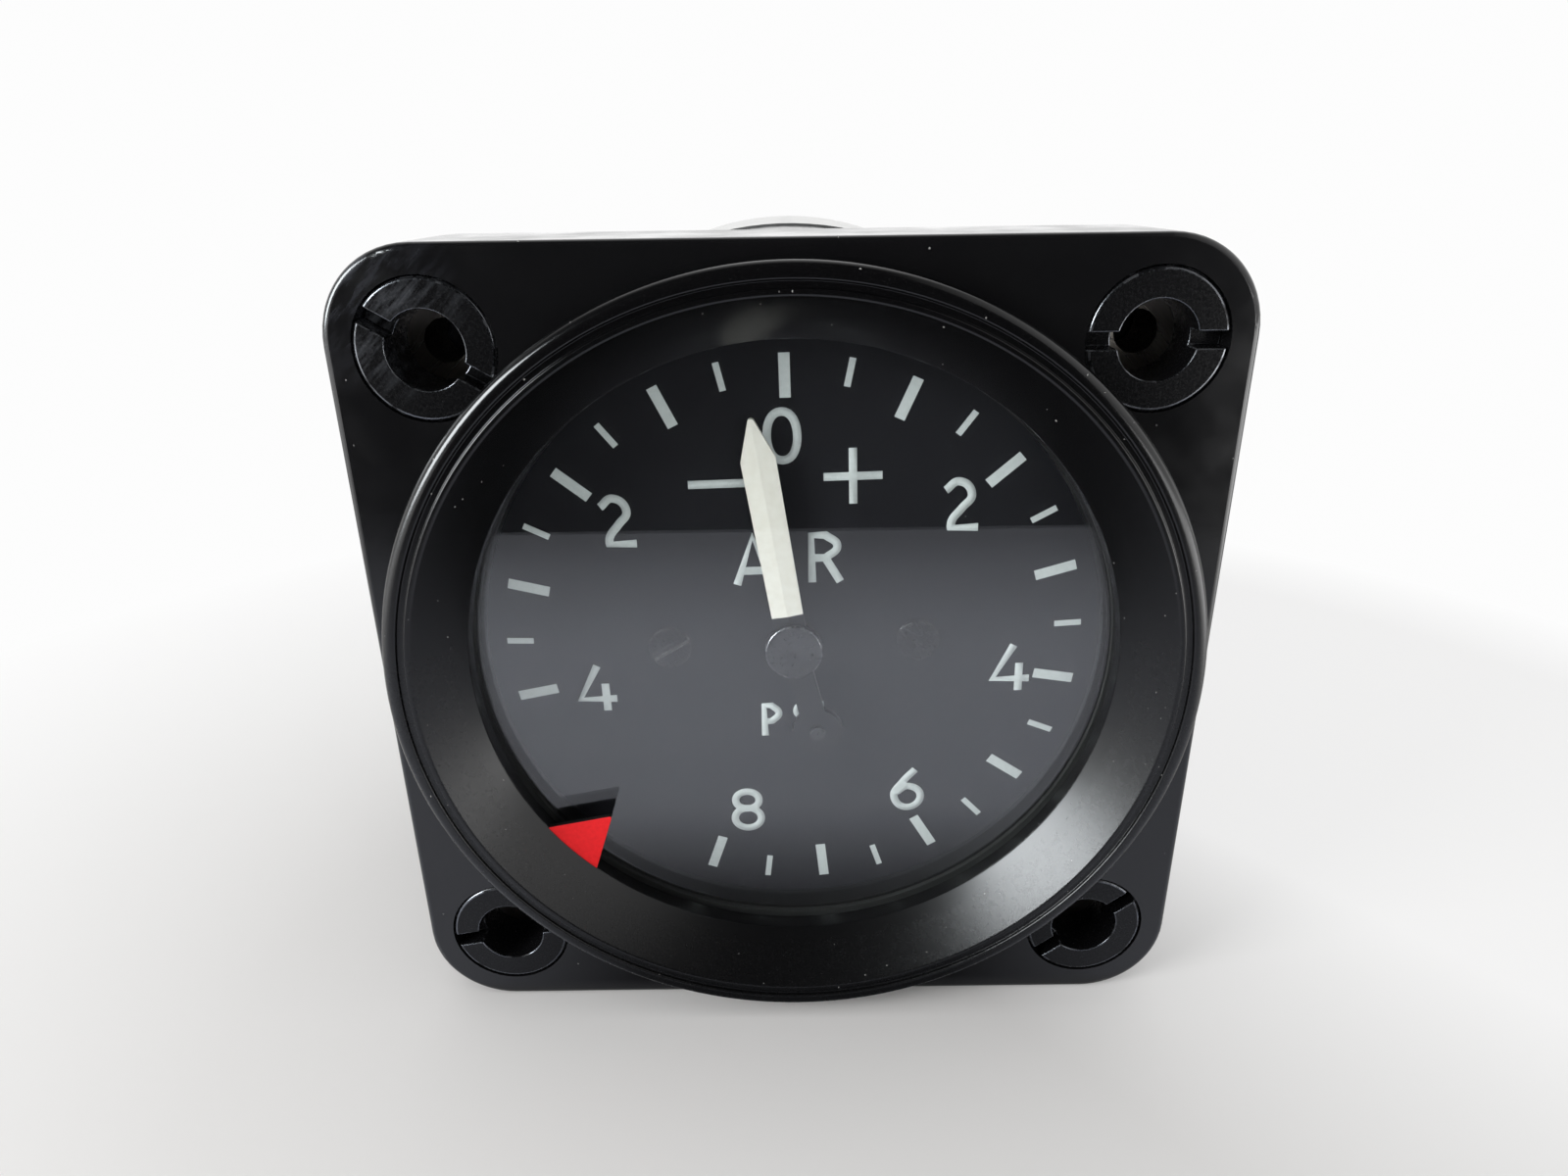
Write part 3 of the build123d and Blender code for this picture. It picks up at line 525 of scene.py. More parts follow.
def make_pointer_paint():
    cream, shade, black = (0.82, 0.80, 0.75), (0.76, 0.73, 0.67), (0.007, 0.007, 0.008)
    tree, shader = new_material("pointer_cream", cream, 0.6, IOR=1.3)
    blade_direction = (math.sin(pointer_angle) / MM, 0, math.cos(pointer_angle) / MM)
    along = vector_number(tree, "DOT_PRODUCT", object_place(tree), blade_direction)
    painted = mask_between(tree, along, cream_start_mm - paint_border_mm, cream_start_mm + paint_border_mm)
    drift = place_group(tree, grain_group, Size=0.6, Detail=4.0)
    pale = mixed_colour(tree, mask_between(tree, drift, 0.4, 0.75), cream, shade)
    feed(tree, shader, Base_Color=mixed_colour(tree, painted, black, pale),
         Roughness=mapped(tree, painted, 0.35, 0.7))


make_pointer_paint()
print("pointer paint changes", cream_start_mm, "mm from the axis")


# %% [markdown]
# ## Clear glass
# Cycles treats solid glass as a blocker for lamps, which would leave the dial dark. So the shader is
# plain glass for sight and a transparent one for the rays that only carry light. Both faces of the
# glass mirror the pale floor, which is the grey veil over the lower half of the dial.

# %% Finish: clear glass
def make_clear_glass():
    tree, shader = new_material(
        "cover_glass", (0.98, 0.99, 0.985), 0.0, IOR=1.62, Transmission_Weight=1.0)
    clear = add_node(tree, "ShaderNodeBsdfTransparent", {"Color": (0.95, 0.97, 0.96, 1)})
    path = add_node(tree, "ShaderNodeLightPath").outputs
    shown(tree, larger(tree, path["Is Shadow Ray"], path["Is Diffuse Ray"]), shader, clear)


make_clear_glass()
print(len(finishes), "finishes for", len(set(slot_of_node.values())), "slots and a few edges")


# %% [markdown]
# ## Plain solids that keep their shape
# Most solids need nothing but a finish. Every node first gets the material of its slot. The ones
# that are rebuilt further on are hidden when their new piece takes their place.

# %% Give each solid its finish
for node, solid in frame["nodes"].items():
    solid.data.materials.clear()
    solid.data.materials.append(finishes[slot_of_node[node]])
# Painted shade: the front plate gets the near-black metal instead of its brass, so no brass shows through
# the hole round the hub.
frame["nodes"]["front_plate"].data.materials[0] = finishes["painted_shade_plate"]
frame["nodes"]["thread_inserts"].data.materials[0] = finishes["oiled_steel"]
print("finished", len(frame["nodes"]), "solids")


# %% [markdown]
# ## Turned pieces
# The bezel was turned on a lathe, so its section swept round the axis is its true form. A Screw
# modifier could do it, but a short function that rounds the section's corners first gives full control
# of the edges that catch the light.

# %% Helpers for meshes
def new_object(name, points, faces):
    mesh = bpy.data.meshes.new(name)
    mesh.from_pydata(points, [], faces)
    return in_scene(name, mesh)


def welded(made, change):
    """Merge doubled points, and change the mesh by one more step."""
    shape = bmesh.new()
    shape.from_mesh(made.data)
    bmesh.ops.remove_doubles(shape, verts=shape.verts, dist=1e-7)
    change(shape)
    shape.to_mesh(made.data)
    shape.free()
    return made


def outward(made):
    """Merge doubled points and turn all faces outwards."""
    return welded(made, lambda shape: bmesh.ops.recalc_face_normals(shape, faces=shape.faces))


def smooth(made, sharp_degrees=50):
    made.data.shade_smooth()
    made.data.set_sharp_from_angle(angle=math.radians(sharp_degrees))
    return made


def finish_piece(made, material, node, replaced=True):
    """Set the piece's material, and let it ride and stand for its node."""
    if not made.data.materials:
        made.data.materials.append(material)
    if replaced:
        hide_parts(node)
    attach(made, body_of_node[node])
    return made


def report(made):
    print(made.name, "has", len(made.data.polygons), "faces")


# %% Turn a section round the axis
def rounded(profile, steps=6):
    """A closed section in (radius, depth, corner radius) millimetres, with its corners as arcs."""
    points = []
    for index, (x, y, corner) in enumerate(profile):
        here = Vector((x, y))
        before = (Vector(profile[index - 1][:2]) - here).normalized()
        after = (Vector(profile[(index + 1) % len(profile)][:2]) - here).normalized()
        if not corner:
            points.append(here)
            continue
        half = before.angle(after) / 2
        start, end = here + before * corner / math.tan(half), here + after * corner / math.tan(half)
        centre = here + (before + after).normalized() * corner / math.sin(half)
        first, turn = start - centre, (start - centre).angle_signed(end - centre)
        for step in range(steps + 1):
            points.append(centre + Matrix.Rotation(-turn * step / steps, 2) @ first)
    return points


def turned(name, profile, around=256):
    """The section swept round the Y axis."""
    section = rounded(profile)
    count = len(section)
    angles = [2 * math.pi * step / around for step in range(around)]
    points = [(p.x * math.sin(a) * MM, p.y * MM, p.x * math.cos(a) * MM) for a in angles for p in section]
    faces = []
    for step in range(around):
        ring, following = step * count, (step + 1) % around * count
        for index in range(count):
            other = (index + 1) % count
            faces.append((ring + index, ring + other, following + other, following + index))
    return smooth(outward(new_object(name, points, faces)))


# %% Turn the bezel
rim = bezel_radius / MM
rim_front = front_of("bezel_ring") / MM
skirt_back = back_of("bezel_ring") / MM
glass_front = front_of("glass") / MM
lip, lip_front = 23.875, 0.64
rim_width, groove_width, groove_depth, land_width = 1.2, 0.5, 0.3, 0.4
overhang, draft, glass_play = 1.8, 0.2, 0.05
skirt = rim - overhang
seat = radius_of("glass") / MM + glass_play
groove_outer = rim - rim_width
groove_inner = groove_outer - groove_width
bezel = turned("bezel", [
    (rim - draft, 0.0, 0.15),
    (rim, rim_front, 0.75),
    (groove_outer, rim_front, 0.18),
    (groove_outer, rim_front + groove_depth, 0.1),
    (groove_inner, rim_front + groove_depth, 0.1),
    (groove_inner, rim_front, 0.12),
    (groove_inner - land_width, rim_front, 0.3),
    (lip, lip_front, 0.25), (lip, glass_front, 0.08),
    (seat, glass_front, 0), (seat, skirt_back, 0),
    (skirt, skirt_back, 0.1), (skirt, 0.0, 0)])
report(bezel)


# %% [markdown]
# ## Softened edges
# No real edge is perfectly sharp: it catches a thin line of light, and paint wears off it first. A
# copy of a solid is welded into clean faces, and a Bevel modifier then cuts its sharp edges and gives
# the new strips a material of their own. Its hardened normals keep the flat faces flat. The marker is
# red on its front alone, and black on its edges and its back.

# %% Copy a solid with softened edges
def copied(node, name):
    solid = frame["nodes"][node].data
    return new_object(name, [v.co for v in solid.vertices], [tuple(p.vertices) for p in solid.polygons])


def modified_mesh(made):
    """The mesh that the object's modifiers make."""
    return bpy.data.meshes.new_from_object(made.evaluated_get(bpy.context.evaluated_depsgraph_get()))


def settled(made):
    """The object with what its modifiers make as its own mesh, and no modifiers."""
    mesh = modified_mesh(made)
    made.modifiers.clear()
    made.data = mesh
    return made


def softened(node, name, width_mm, edge_finish=None, segments=2):
    """A copy of the solid whose sharp edges are cut, and which stands for the solid."""
    sharp_degrees, flat_degrees = 40, 0.5
    made = welded(copied(node, name), lambda shape: bmesh.ops.dissolve_limit(
        shape, angle_limit=math.radians(flat_degrees), verts=shape.verts, edges=shape.edges))
    made.data.materials.append(finishes[slot_of_node[node]])
    smooth(made, sharp_degrees)
    bevel = made.modifiers.new("softened", "BEVEL")
    bevel.limit_method = "ANGLE"
    bevel.angle_limit = math.radians(sharp_degrees)
    bevel.width = width_mm * MM
    bevel.segments = segments
    bevel.use_clamp_overlap = False
    bevel.harden_normals = True
    if edge_finish:
        made.data.materials.append(finishes[edge_finish])
        bevel.material = 1
    return finish_piece(settled(made), None, node)


# %% Soften the bushes, the marker, the screws and the nut
for node in [n for n in frame["nodes"] if n.startswith("bush_")]:
    softened(node, node.replace("bush_", "slotted_bush_"), 0.09, "worn_edge")
front_facing = -0.9
marker = softened("limit_flag", "red_marker", 0.03, "ring_black")
for face in marker.data.polygons:
    face.material_index = int(face.normal.y > front_facing)
softened("dial_screws", "slotted_screws", 0.08, "worn_screw", segments=3)
softened("stem_nut", "clamp_nut", 0.15)


# %% [markdown]
# The marker is a thin red plate whose foot sits in a notch of the bezel's lip. The notch could be
# drawn by hand. Here the marker's own shape cuts it, swollen by a hair, because the plate must slip in
# without touching.

# %% Cut the marker's notch in the bezel
def cut(target, cutter, sharp_degrees=50):
    """Take the cutter's shape out of the target, and throw the cutter away."""
    removal = target.modifiers.new("cut", "BOOLEAN")
    removal.operation, removal.solver, removal.object = "DIFFERENCE", "EXACT", cutter
    settled(target)
    bpy.data.objects.remove(cutter)
    return smooth(target, sharp_degrees)


def swollen(node, play_mm):
    """A copy of a solid that is larger on every side by the play."""
    larger_copy = outward(copied(node, "swollen"))
    points = larger_copy.data.vertices
    middle = sum((v.co for v in points), Vector()) / len(points)
    for vertex in points:
        vertex.co += Vector([math.copysign(play_mm * MM, part) for part in vertex.co - middle])
    return larger_copy


cut(bezel, swollen("limit_flag", 0.05))
finish_piece(bezel, finishes["bezel_black"], "bezel_ring")
report(bezel)


# %% [markdown]
# The pointer's hub was turned too, and it closes over the end of its arbor. Its solid could be softened
# like the bushes, but its section gives it a small centre mark from the lathe, a flat face and a rounded
# rim that is worn to the steel. A ring close to the rim keeps the face flat.

# %% Turn the hub
hub_face, hub_end = front_of("pointer_hub") / MM, back_of("pointer_hub") / MM
hub_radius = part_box("pointer_hub")[1].x / MM
head_thickness, hub_tube_radius, arbor_bore, hub_cap = 0.5, 1.1, 0.52, 0.3
mark_radius, mark_depth, rim_round = 0.6, 0.12, 0.16
flat_radius = hub_radius - 1.2 * rim_round
hub = turned("hub_bush", [
    (0, hub_face + mark_depth, 0), (mark_radius / 2, hub_face + mark_depth, 0), (mark_radius, hub_face, 0),
    (flat_radius, hub_face, 0), (hub_radius, hub_face, rim_round),
    (hub_radius, hub_face + head_thickness, 0), (hub_tube_radius, hub_face + head_thickness, 0),
    (hub_tube_radius, hub_end, 0), (arbor_bore, hub_end, 0), (arbor_bore, hub_face + hub_cap, 0),
    (0, hub_face + hub_cap, 0)], around=96)
finish_piece(hub, finishes["hub_black"], "pointer_hub")
hub.data.materials.append(finishes["worn_hub"])
for face in hub.data.polygons:
    out = math.hypot(face.center.x, face.center.z) / MM
    tilted = 0.1 < -face.normal.y < 0.99
    face.material_index = int(tilted and out > hub_radius - rim_round)
report(hub)


# %% [markdown]
# ## Scale marks
# The scale is one short bar repeated at equal angles, which is a job for Geometry Nodes: points by
# index, a bar on each, turned about the dial's centre. Whole and half units are two uses of one tree
# with other values. The bars are thin solids that stand a hair above the dial.

# %% Helper for geometry trees
def new_geometry_tree(name, fill, finish, **inputs):
    """A geometry tree with named inputs, given as socket types. It ends in real, painted geometry."""
    tree = bpy.data.node_groups.new(name, "GeometryNodeTree")
    tree.interface.new_socket("Geometry", in_out="INPUT", socket_type="NodeSocketGeometry")
    for socket, kind in inputs.items():
        tree.interface.new_socket(socket, in_out="INPUT", socket_type=kind)
    tree.interface.new_socket("Geometry", in_out="OUTPUT", socket_type="NodeSocketGeometry")
    geometry = fill(tree, tree.nodes.new("NodeGroupInput").outputs)
    real = add_node(tree, "GeometryNodeRealizeInstances", {0: geometry}).outputs[0]
    painted = add_node(tree, "GeometryNodeSetMaterial", {0: real, "Material": finishes[finish]}).outputs[0]
    add_node(tree, "NodeGroupOutput", {0: painted})
    print(name, "tree has", len(tree.nodes), "nodes")
    return tree


def grow(name, tree, values, source=None):
    """An object whose mesh is what the tree makes of the source with these values."""
    made = source or new_object(name, [], [])
    modifier = made.modifiers.new(tree.name, "NODES")
    modifier.node_group = tree
    sockets = {item.name: item.identifier for item in tree.interface.items_tree if item.in_out == "INPUT"}
    for socket, value in values.items():
        modifier[sockets[socket]] = value
    mesh = modified_mesh(made)
    bpy.data.objects.remove(made)
    return in_scene(name, mesh)


# %% Tree for scale marks
REAL, WHOLE = "NodeSocketFloat", "NodeSocketInt"
make_paint("print_paint", (0.58, 0.62, 0.63), (0.52, 0.56, 0.57), 0.6, 0.3)


def fill_scale_marks(tree, given):
    turn = product(tree, add_node(tree, "GeometryNodeInputIndex").outputs[0], given["Step"])
    angle = sum_of(tree, "ADD", turn, given["First"])
    length = sum_of(tree, "SUBTRACT", given["Outer"], given["Inner"])
    middle = product(tree, sum_of(tree, "ADD", given["Outer"], given["Inner"]), 0.5)
    x = product(tree, middle, sum_of(tree, "SINE", angle))
    z = product(tree, middle, sum_of(tree, "COSINE", angle))
    points = add_node(tree, "GeometryNodePoints", {
        "Count": given["Count"], "Position": joined(tree, X=x, Y=given["Depth"], Z=z)}).outputs[0]
    mark = add_node(tree, "GeometryNodeMeshCube", {
        "Size": joined(tree, X=given["Width"], Y=given["Height"], Z=length)}).outputs[0]
    return add_node(tree, "GeometryNodeInstanceOnPoints", {
        "Points": points, "Instance": mark, "Rotation": joined(tree, Y=angle)}).outputs[0]


marks_tree = new_geometry_tree(
    "scale_marks", fill_scale_marks, "print_paint", Count=WHOLE, First=REAL, Step=REAL, Inner=REAL,
    Outer=REAL, Width=REAL, Height=REAL, Depth=REAL)

# %% Print the scale
dial_turn = math.radians(-1.25)
unit_angle = math.radians(25)
lowest_unit, highest_unit = -4, 8
print_height = 0.03 * MM
print_depth = dial_front - print_height / 4
mark_outer = 22.3 * MM
for name, first, count, inner_mm, width_mm in (
        ("unit_marks", lowest_unit, highest_unit - lowest_unit + 1, 19.15, 0.8),
        ("half_marks", lowest_unit + 0.5, highest_unit - lowest_unit, 20.25, 0.47)):
    marks = grow(name, marks_tree, {
        "Count": count, "First": first * unit_angle + dial_turn, "Step": unit_angle,
        "Inner": inner_mm * MM, "Outer": mark_outer, "Width": width_mm * MM,
        "Height": print_height, "Depth": print_depth})
    finish_piece(marks, None, "dial_plate", replaced=False)
    report(marks)


# %% [markdown]
# ## Figures and words
# The figures are drawn with one width of line, as an engraver's stencil does. A typeface would have
# its own proportions, so each figure is a few strokes in units of its height, and Geometry Nodes
# sweep a flat section along them. Only plain numbers, signs and the words AIR and PSI are printed.

# %% Strokes of each figure
def bar(*points):
    return [(x, y, "corner") for x, y in points]


def bend(*points):
    return [(x, y, "smooth") for x, y in points]


def ring(x, y, rx, ry):
    """A closed stroke: an oval through four smooth points."""
    angles = [math.pi / 2 * n for n in range(4)]
    return bend(*[(x + rx * math.cos(a), y + ry * math.sin(a)) for a in angles]) + ["closed"]


def bowed(straight, out, middle, low):
    """The stem and the bow of an R or a P in one stroke."""
    stem, top = 0.08, 0.92
    start, end = bar((stem, 0.0), (stem, top), (straight, top)), bar((straight, low), (stem, low))
    return start + bend((out, middle)) + end


figures = {
    "0": [ring(0.34, 0.5, 0.265, 0.43)],
    "2": [bend((0.065, 0.78), (0.30, 0.935), (0.53, 0.69), (0.36, 0.44), (0.19, 0.22))
          + bar((0.165, 0.075), (0.66, 0.075))],
    "4": [bar((0.48, 0.96), (0.10, 0.255), (0.80, 0.255)), bar((0.60, 0.58), (0.60, 0.0))],
    "6": [bend((0.50, 0.95), (0.26, 0.68), (0.08, 0.33), (0.35, 0.07), (0.61, 0.33), (0.37, 0.57),
               (0.13, 0.44))],
    "8": [ring(0.33, 0.725, 0.235, 0.2), ring(0.33, 0.30, 0.265, 0.235)],
    "-": [bar((0.0, 0.5), (1.0, 0.5))],
    "+": [bar((0.0, 0.5), (1.0, 0.5)), bar((0.5, 0.0), (0.5, 1.0))],
    "A": [bar((0.04, 0.0), (0.36, 0.94), (0.68, 0.0)), bar((0.14, 0.27), (0.58, 0.27))],
    "I": [bar((0.08, 0.0), (0.08, 1.0))],
    "R": [bowed(0.34, 0.555, 0.70, 0.48), bar((0.33, 0.48), (0.60, 0.0))],
    "P": [bowed(0.32, 0.55, 0.68, 0.44)],
    "S": [bend((0.52, 0.80), (0.30, 0.93), (0.09, 0.72), (0.30, 0.51), (0.53, 0.28), (0.29, 0.07),
               (0.05, 0.21))],
}
print("strokes for", *figures)

# %% Tree for strokes
def fill_strokes(tree, given):
    section = add_node(tree, "GeometryNodeCurvePrimitiveQuadrilateral", {
        "Width": given["Line"], "Height": given["Height"]}).outputs[0]
    swept = add_node(tree, "GeometryNodeCurveToMesh", {
        "Curve": given["Geometry"], "Profile Curve": section, "Fill Caps": True}).outputs[0]
    return add_node(tree, "GeometryNodeMeshBoolean", {
        "Mesh 2": swept, "Self Intersection": True}, operation="UNION", solver="EXACT").outputs[0]


strokes_tree = new_geometry_tree("strokes", fill_strokes, "print_paint", Line=REAL, Height=REAL)


# %% Draw one figure
def draw(name, figure, left, bottom, height, line, width=None):
    """One figure as thin solids on the dial, from its lower left corner, all in millimetres."""
    curve = bpy.data.curves.new(name, "CURVE")
    curve.dimensions = "3D"
    curve.resolution_u = 8
    curve.twist_mode = "Z_UP"
    for stroke in figures[figure]:
        closed = stroke[-1] == "closed"
        points = [p for p in stroke if p != "closed"]
        spline = curve.splines.new("BEZIER")
        spline.bezier_points.add(len(points) - 1)
        spline.use_cyclic_u = closed
        for target, (x, y, kind) in zip(spline.bezier_points, points):
            target.co = (x * (width or height), y * height, 0)
            handle = "AUTO" if kind == "smooth" else "VECTOR"
            target.handle_left_type = target.handle_right_type = handle
    drawn = grow(name, strokes_tree, {"Line": line, "Height": print_height / MM}, in_scene(name, curve))
    upright = Matrix.Rotation(dial_turn, 4, "Y") @ Matrix.Translation((left, 0, bottom))
    upright = Matrix.Translation((0, print_depth, 0)) @ Matrix.Scale(MM, 4) @ upright
    drawn.data.transform(upright @ Matrix.Rotation(math.pi / 2, 4, "X"))
    return finish_piece(outward(drawn), None, "dial_plate", replaced=False)


# %% Print the figures
figure_height, figure_line, figure_middle = 4.15, 0.62, 0.34
figure_centres = {
    "zero": ("0", -0.33, 16.39), "right_two": ("2", 12.69, 10.77), "left_two": ("2", -12.81, 10.37),
    "right_four": ("4", 16.62, -2.75), "left_four": ("4", -16.14, -3.39),
    "six": ("6", 8.99, -13.79), "eight": ("8", -4.28, -15.33)}
for name, (figure, x, z) in figure_centres.items():
    left, bottom = x - figure_middle * figure_height, z - figure_height / 2
    draw("print_" + name, figure, left, bottom, figure_height, figure_line)
draw("print_minus", "-", -7.34, 11.0, 4.0, 0.62, 4.25)
draw("print_plus", "+", 2.6, 11.15, 4.2, 0.6, 4.3)
for name, figure, left in (("air_a", "A", -4.3), ("air_i", "I", -0.75), ("air_r", "R", 1.25)):
    draw("print_" + name, figure, left, 5.0, 4.1, 0.62)
for name, figure, left in (("psi_p", "P", -2.75), ("psi_s", "S", -0.18), ("psi_i", "I", 1.75)):
    draw("print_" + name, figure, left, -8.25, 2.98, 0.56, 2.5)


# %% [markdown]
# ## Thread of the pipe union
# The union behind has an outside thread, which the plain solid leaves smooth. A thread is a groove
# that a pointed tool cuts along a helix, so Geometry Nodes sweep a small section along a spiral, and
# a copy of the brass piece loses that shape.

# %% Tree for a helical groove
def fill_helix(tree, given):
    line = add_node(tree, "GeometryNodeCurveSpiral", {
        "Resolution": 64, "Rotations": given["Turns"], "Start Radius": given["Radius"],
        "End Radius": given["Radius"], "Height": given["Length"]}).outputs[0]
    upright = add_node(tree, "GeometryNodeSetCurveNormal", {0: line}, mode="Z_UP").outputs[0]
    section = add_node(tree, "GeometryNodeCurvePrimitiveCircle", {
        "Resolution": 4, "Radius": given["Section"]}).outputs[0]
    return add_node(tree, "GeometryNodeCurveToMesh", {
        "Curve": upright, "Profile Curve": section, "Fill Caps": True}).outputs[0]


helix_tree = new_geometry_tree(
    "helix_groove", fill_helix, "movement_brass", Radius=REAL, Turns=REAL, Length=REAL, Section=REAL)

# %% Cut the thread of the union
union_radius, cone_length, pitch, turns = 5.55, 1.6, 1.27, 5.5
run_out, groove_share = 0.4, 0.42
thread_end = back_of("tube_socket") / MM - cone_length + run_out
groove = grow("groove", helix_tree, {
    "Radius": union_radius * MM, "Turns": turns, "Length": turns * pitch * MM,
    "Section": groove_share * pitch * MM})
groove.data.transform(Matrix.Translation((0, thread_end * MM, 0)) @ Matrix.Rotation(math.pi / 2, 4, "X"))
outward(groove)
union = softened("tube_socket", "threaded_union", 0.06)
cut(union, groove, 40)
report(union)


# %% [markdown]
# ## Lint
# A few pale crumbs lie on the black faces. Specks in the material could stand for them, but real crumbs
# have a size and cast a shadow. So Geometry Nodes scatter small closed lumps on the faces that look
# forwards, with a fixed seed.

# %% Tree for lint
make_paint("lint", (0.34, 0.34, 0.33), (0.22, 0.22, 0.21), 0.8)


def fill_lint(tree, given):
    small, large = given["Smallest"], given["Largest"]
    facing = axes(tree, add_node(tree, "GeometryNodeInputNormal").outputs[0])[1]
    front = add_node(tree, "FunctionNodeCompare", {0: facing, 1: -0.5}, operation="LESS_THAN").outputs[0]
    points = add_node(tree, "GeometryNodeDistributePointsOnFaces", {
        "Mesh": given["Geometry"], "Selection": front, "Density": given["Density"],
        "Seed": given["Seed"]}).outputs[0]
    crumb = add_node(tree, "GeometryNodeMeshIcoSphere", {"Radius": 1.0, "Subdivisions": 1}).outputs[0]
    scale = add_node(tree, "FunctionNodeRandomValue", {
        0: joined(tree, X=small, Y=small, Z=small), 1: joined(tree, X=large, Y=small, Z=large)},
        data_type="FLOAT_VECTOR").outputs[0]
    return add_node(tree, "GeometryNodeInstanceOnPoints", {
        "Points": points, "Instance": crumb, "Scale": scale}).outputs[0]


lint_tree = new_geometry_tree(
    "lint", fill_lint, "lint", Density=REAL, Seed=WHOLE, Smallest=REAL, Largest=REAL)


# %% Scatter lint on the bezel and the flange
smallest_mm, largest_mm, crumb_faces = 0.02, 0.09, 20
for name, mesh, node, density, seed in (
        ("bezel_lint", bezel.data, "bezel_ring", 45000.0, 4),
        ("flange_lint", frame["nodes"]["front_case"].data, "front_case", 14000.0, 9)):
    crumbs = grow(name, lint_tree, {
        "Density": density, "Seed": seed, "Smallest": smallest_mm * MM, "Largest": largest_mm * MM},
        in_scene(name, mesh.copy()))
    finish_piece(crumbs, None, node, replaced=False)
    print(name, len(crumbs.data.polygons) // crumb_faces, "crumbs")


# %% [markdown]
# ## Floor and backdrop
# One sheet of pale paper lies flat under the gauge and curves up behind it, so that no edge shows. A
# plane could be bent by hand. Here its section is a line, a quarter of a circle and a line.

# %% Floor and backdrop in one sheet
half_width, front_edge, bend_start, bend_radius, sheet_top = 3.0, -3.0, 0.9, 0.9, 3.0
bend_steps = 24
sheet_section = [(front_edge, 0.0), (bend_start, 0.0)]
for step in range(1, bend_steps + 1):
    angle = math.pi / 2 * step / bend_steps
    sheet_section.append((bend_start + bend_radius * math.sin(angle), bend_radius * (1 - math.cos(angle))))
sheet_section.append((bend_start + bend_radius, sheet_top))
floor = new_object(
    "floor",
    [(x, y, floor_height + z) for y, z in sheet_section for x in (-half_width, half_width)],
    [(2 * n, 2 * n + 1, 2 * n + 3, 2 * n + 2) for n in range(len(sheet_section) - 1)])
floor.data.shade_smooth()
report(floor)


# %% [markdown]
# The paper looks different to different rays, and Light Path tells them apart. Light bounces off it as off
# plain pale paper. The camera sees it run out to white, and to the right of the gauge it glows white as
# painted light where the gauge's shadow would fall. Mirrors, such as glass, bezel and cup, see white
# behind the gauge. In front of it they see painted shade and light: a painted shadow of the gauge close
# by, painted shade further out, a painted glow on both sides and a painted cool tint. That sets the tone
# of every black face, with no more light on the gauge.

# %% Paper: its colour
def mirror_rays(tree, path):
    """A mask for the rays that mirrors and glass send out."""
    return larger(tree, path["Is Glossy Ray"], path["Is Transmission Ray"])


def paper_colour(tree, place, distance, mirrors):
    """Pale paper. In mirrors it carries painted shade in front of the gauge: a painted shadow close by,
    apart from both its sides, painted shade further out and a painted cool tint.
    """
    pale, paler, cool = (0.78, 0.77, 0.76), (0.97, 0.97, 0.97), (0.86, 0.89, 1.0)
    beside = mask_between(tree, sum_of(tree, "ABSOLUTE", place[0]), 12 * MM, 26 * MM)
    # Painted shadow of the gauge on the paper close in front of it, seen in mirrors, but not beside it.
    shadow_near_front = larger(tree, beside, mapped(tree, place[1], 1.0, 0.08, -22 * MM, -7 * MM))
    # Painted shade on the paper further out in front, seen in mirrors.
    shade_far_front = mapped(tree, place[1], 0.34, 1.0, -110 * MM, -62 * MM)
    in_front = product(tree, mirrors, mapped(tree, place[1], 1.0, 0.0, -1.5 * MM, 0.0))
    paper = mixed_colour(tree, mask_between(tree, distance, 0.08, 0.4), pale, paler)
    # Painted cool tint on the paper that mirrors see in front of the gauge.
    paper = mixed_colour(tree, in_front, paper, cool)
    return scaled(tree, paper, mixed_value(tree, in_front, 1.0, product(tree, shadow_near_front, shade_far_front)))


# %% Paper: where it is white
def paper_glow(tree, place, distance, path, mirrors):
    """How bright the paper glows, and a mask for where the camera and mirrors see that glow. Besides the
    white backdrop, it is painted light: a painted glow on both sides for mirrors, and painted light to the
    right of the gauge for the camera.
    """
    camera_white, mirror_white = 0.98, 1.3
    # Painted glow for mirrors on both sides in front of the gauge. It draws the sheen on the bezel, though
    # the paper is no lamp.
    to_right = mapped(tree, place[0], 0.0, 6.0, 70 * MM, 160 * MM)
    to_left = mapped(tree, place[0], 0.0, 2.5, -90 * MM, -180 * MM)
    ahead = product(tree, path["Is Glossy Ray"], mapped(tree, place[1], 1.0, 0.0, -20 * MM, 40 * MM))
    side_glow = product(tree, ahead, sum_of(tree, "ADD", to_right, to_left))
    glow = mixed_value(tree, mirrors, camera_white, larger(tree, side_glow, mirror_white))
    behind = mask_between(tree, distance, 0.055, 0.14)
    # Painted light for the camera: the paper to the right of the gauge glows white, where the gauge's
    # shadow would fall.
    slanted = sum_of(tree, "ADD", place[0], product(tree, place[1], 0.8))
    right = mapped(tree, slanted, 0.0, 0.75, 15 * MM, 60 * MM)
    seen = product(tree, path["Is Camera Ray"], larger(tree, behind, right))
    at_back, at_side = mask_between(tree, place[1], 0.1, 0.3), mask_between(tree, side_glow, 0.0, 1.0)
    mirrored = product(tree, mirrors, larger(tree, at_back, at_side))
    return glow, larger(tree, seen, mirrored)


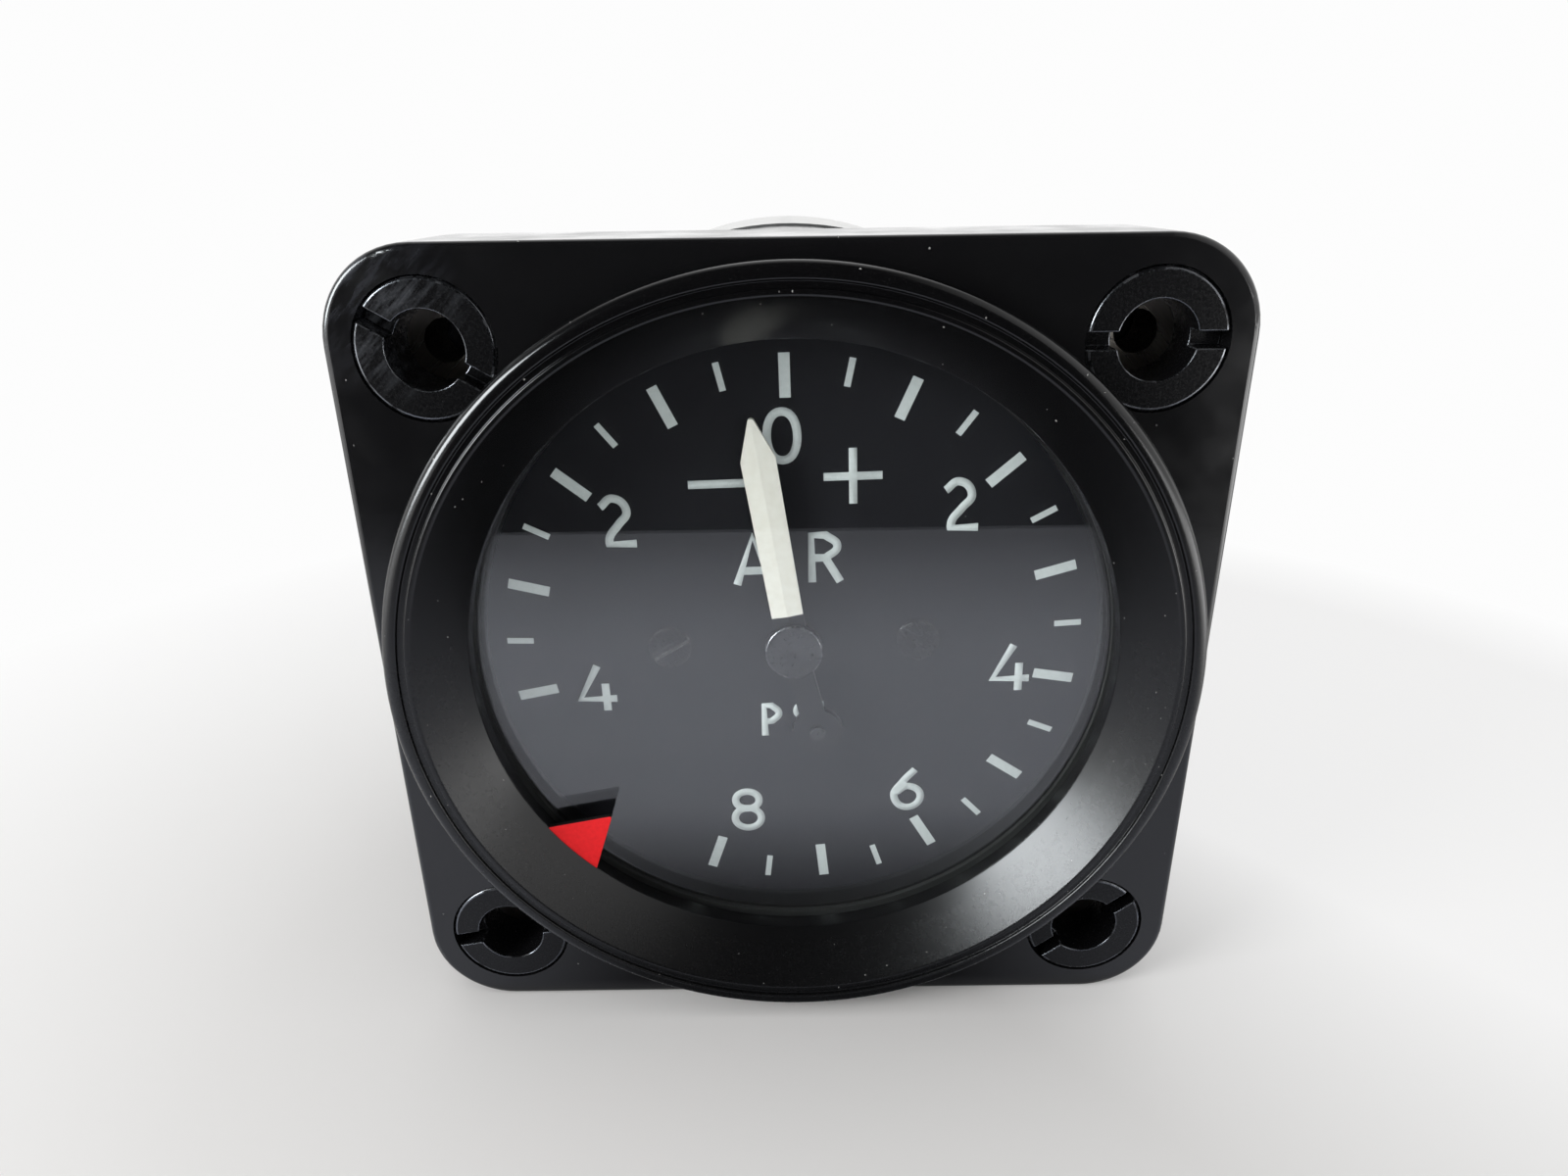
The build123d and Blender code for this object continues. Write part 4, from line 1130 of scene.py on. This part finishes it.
# %% Paper of the floor
def make_paper():
    tree, shader = new_material("floor_paper", (0.78, 0.775, 0.765), 0.9)
    place = axes(tree, object_place(tree))
    distance = vector_number(tree, "LENGTH", object_place(tree))
    path = add_node(tree, "ShaderNodeLightPath").outputs
    mirrors = mirror_rays(tree, path)
    feed(tree, shader, Base_Color=paper_colour(tree, place, distance, mirrors))
    glow, share = paper_glow(tree, place, distance, path, mirrors)
    lit = add_node(tree, "ShaderNodeEmission", {"Color": (1, 1, 1, 1), "Strength": glow})
    shown(tree, share, shader, lit)
    print("paper has", len(tree.nodes), "nodes")


make_paper()
floor.data.materials.append(finishes["floor_paper"])


# %% [markdown]
# ## Sky
# The world gives soft light, mostly from above and behind. A picture of a studio could light it too,
# but it would bring its own shapes into the glass. Here mirrors see white behind, a dark front and one
# bright side, each a smooth slope over the direction.

# %% World
light_front, light_back, white, dark_front = 0.15, 1.1, 1.0, 0.03
world = scene.world = bpy.data.worlds.new("sky")
world.use_nodes = True
sky = world.node_tree
sky_shader = sky.nodes["Background"]
sky_shader.inputs["Color"].default_value = (1, 1, 1, 1)
path = add_node(sky, "ShaderNodeLightPath").outputs
direction = add_node(sky, "ShaderNodeTexCoord").outputs["Generated"]
towards_front = vector_number(sky, "DOT_PRODUCT", direction, (0.0, -0.8, 0.6))
towards_back = vector_number(sky, "DOT_PRODUCT", direction, (0.0, 0.8, 0.6))
bright_side = mapped(sky, axes(sky, direction)[0], 0.0, 1.5, 0.3, 0.8)
mirrored = larger(sky, bright_side, mapped(sky, towards_front, 1.3 * white, dark_front, 0.0, 0.6))
soft = mapped(sky, towards_back, light_front, light_back, -0.5, 0.8)
plain = mixed_value(sky, path["Is Camera Ray"], soft, white)
feed(sky, sky_shader, Strength=mixed_value(sky, mirror_rays(sky, path), plain, mirrored))
print("sky has", len(sky.nodes), "nodes")


# %% [markdown]
# ## Lamps and the dark panel
# A large window light from the left shapes the gauge, and a weak fill from the front opens the shadows.
# A second, cooler lamp in the window's place is seen in mirrors alone and draws the broad sheen on the
# bezel. A dark panel in front is seen in mirrors alone too, and keeps the dial's upper half clear.

# %% Lamps
def make_lamp(name, direction, distance, size, radiance, colour=(1, 1, 1), mirrored=True, lights=True):
    """An area lamp that faces the gauge, by the size and the brightness of its face."""
    lamp = bpy.data.lights.new(name, "AREA")
    lamp.shape = "RECTANGLE"
    lamp.size, lamp.size_y = size
    lamp.energy = radiance * math.pi * size[0] * size[1]
    lamp.color = colour
    made = in_scene(name, lamp)
    made.location = Vector(direction).normalized() * distance
    made.rotation_euler = Vector(direction).to_track_quat("Z", "Y").to_euler()
    made.visible_glossy = mirrored
    made.visible_diffuse = lights


window_direction = (-0.83, -0.46, 0.30)
make_lamp("window", window_direction, 0.5, (0.2, 0.24), 14.0)
make_lamp("window_shine", window_direction, 0.49, (0.22, 0.26), 13.5, (0.86, 0.95, 1.0), lights=False)
make_lamp("fill", (0.35, -0.92, 0.17), 0.8, (0.5, 0.3), 3.5, mirrored=False)

# %% Dark panel
panel_side, panel_depth, panel_top = 95 * MM, -115 * MM, 260 * MM
panel = new_object("dark_panel", [
    (-panel_side, panel_depth, floor_height), (panel_side, panel_depth, floor_height),
    (panel_side, panel_depth, panel_top), (-panel_side, panel_depth, panel_top)], [(0, 1, 2, 3)])
new_material("panel_black", (0.004, 0.004, 0.004), 1.0)
panel.data.materials.append(finishes["panel_black"])
panel.visible_camera = panel.visible_diffuse = panel.visible_shadow = False
scene.view_settings.view_transform = "Standard"
print("panel", round(2 * panel_side / MM), "mm wide")
